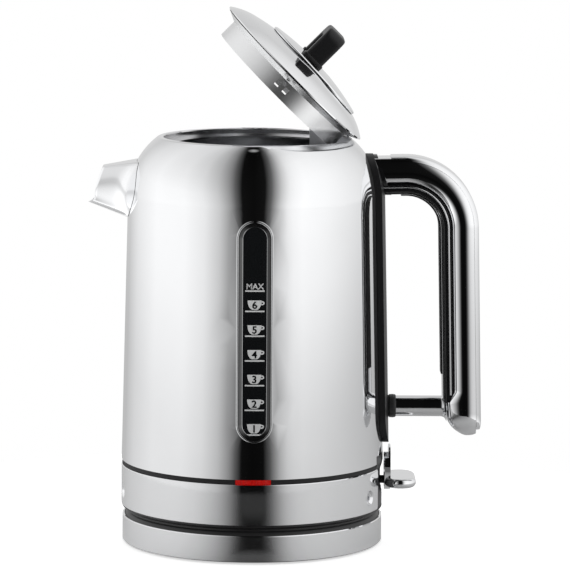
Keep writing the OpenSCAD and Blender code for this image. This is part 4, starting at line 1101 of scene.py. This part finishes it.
def build_surroundings():
    """A white tent with a dark opening ahead and walls that darken towards table and top"""
    world = bpy.data.worlds.new("Studio Tent")
    bpy.context.scene.world = world
    world.use_nodes = True
    tree = world.node_tree
    w = Wiring(tree)
    place = w.node("ShaderNodeTexCoord")
    axis = w.node("ShaderNodeSeparateXYZ")
    w.link(place.outputs["Generated"], axis.inputs[0])
    way = heading(w, axis)
    walls = w.ramp(way, both_ways(WALL_LEFT, WALL_RIGHT))
    height = w.math("ARCSINE", axis.outputs["Z"])
    up = w.math("DIVIDE", height, math.pi / 2, clamp=True)
    down = w.math("MULTIPLY_ADD", height, -6 / math.pi, -3.5 / 30, clamp=True)
    left = w.math("MULTIPLY", w.ramp(down, DOWN_LEFT), w.ramp(up, FADE_LEFT))
    right = w.math("MULTIPLY", w.ramp(down, DOWN_RIGHT), w.ramp(up, FADE_RIGHT))
    # left and right meet in a narrow band ahead and a wider one behind
    side = w.math("MULTIPLY_ADD", way, 30.0, -14.5, clamp=True)
    aside = w.math("ABSOLUTE", w.math("SUBTRACT", way, 0.5))
    behind = w.math("MULTIPLY_ADD", aside, 16.0, -7.0, clamp=True)
    side = w.blend(side, 0.5, behind)
    around = w.math("MULTIPLY", walls, w.blend(left, right, side))
    top = w.math("MULTIPLY", w.math("SUBTRACT", up, TOP_SHARE, clamp=True), 1 / (1 - TOP_SHARE),
                 clamp=True)
    ray = w.node("ShaderNodeLightPath")
    level = w.blend(w.blend(around, TOP_LEVEL, top), 1.0, ray.outputs["Is Camera Ray"])
    w.link(level, tree.nodes["Background"].inputs["Strength"])
    tree.nodes["Background"].inputs["Color"].default_value = (1, 1, 1, 1)


CAMERA_SENSOR, CAMERA_FAR = 36, 60
CAMERA_PITCH, CAMERA_YAW, CAMERA_ROLL = 7.6228, 0.4661, 0.3584


def build_camera(settings):
    """A long lens in front of the kettle that looks slightly down"""
    data = bpy.data.cameras.new("camera")
    data.lens = settings.lens_mm
    data.sensor_width = CAMERA_SENSOR
    data.clip_end = CAMERA_FAR
    camera = bpy.data.objects.new("camera", data)
    turn = (Matrix.Rotation(-math.radians(CAMERA_YAW), 4, "Z")
            @ Matrix.Rotation(math.radians(90 - CAMERA_PITCH), 4, "X")
            @ Matrix.Rotation(math.radians(CAMERA_ROLL), 4, "Z"))
    camera.matrix_world = Matrix.Translation((0, -settings.distance, settings.height)) @ turn
    bpy.context.scene.collection.objects.link(camera)
    bpy.context.scene.camera = camera


class KETTLE_PT_panel(bpy.types.Panel):
    """The kettle's pieces and settings"""
    bl_idname = "KETTLE_PT_panel"
    bl_label = "Electric Kettle"
    bl_space_type = "VIEW_3D"
    bl_region_type = "UI"
    bl_category = "Kettle"

    def draw(self, context):
        scene = context.scene
        for owner in (scene.kettle_steel, scene.kettle_plastic, scene.kettle_marks,
                      scene.kettle_stage):
            box = self.layout.box()
            for key in owner.bl_rna.properties.keys():
                if key not in {"rna_type", "name"}:
                    box.prop(owner, key)
        for operator in OPERATORS:
            self.layout.operator(operator.bl_idname)


OPERATORS = [KETTLE_OT_finishes, KETTLE_OT_window_marks, KETTLE_OT_spout, KETTLE_OT_handle,
             KETTLE_OT_lid, KETTLE_OT_stage]
CLASSES = [KettleSteelSettings, KettlePlasticSettings, KettleMarkSettings, KettleStageSettings,
           *OPERATORS, KETTLE_PT_panel]


def register():
    """Makes the settings, the operators and the panel known"""
    for cls in CLASSES:
        bpy.utils.register_class(cls)
    bpy.types.Scene.kettle_steel = PointerProperty(type=KettleSteelSettings)
    bpy.types.Scene.kettle_plastic = PointerProperty(type=KettlePlasticSettings)
    bpy.types.Scene.kettle_marks = PointerProperty(type=KettleMarkSettings)
    bpy.types.Scene.kettle_stage = PointerProperty(type=KettleStageSettings)


def unregister():
    """Takes away what register made known"""
    del bpy.types.Scene.kettle_stage
    del bpy.types.Scene.kettle_marks
    del bpy.types.Scene.kettle_plastic
    del bpy.types.Scene.kettle_steel
    for cls in reversed(CLASSES):
        bpy.utils.unregister_class(cls)


def main():
    """Dresses the kettle and sets the stage"""
    register()
    bpy.ops.kettle.finishes()
    bpy.ops.kettle.window_marks()
    bpy.ops.kettle.spout()
    bpy.ops.kettle.handle()
    bpy.ops.kettle.lid()
    bpy.ops.kettle.stage()


if __name__ == "__main__":
    main()
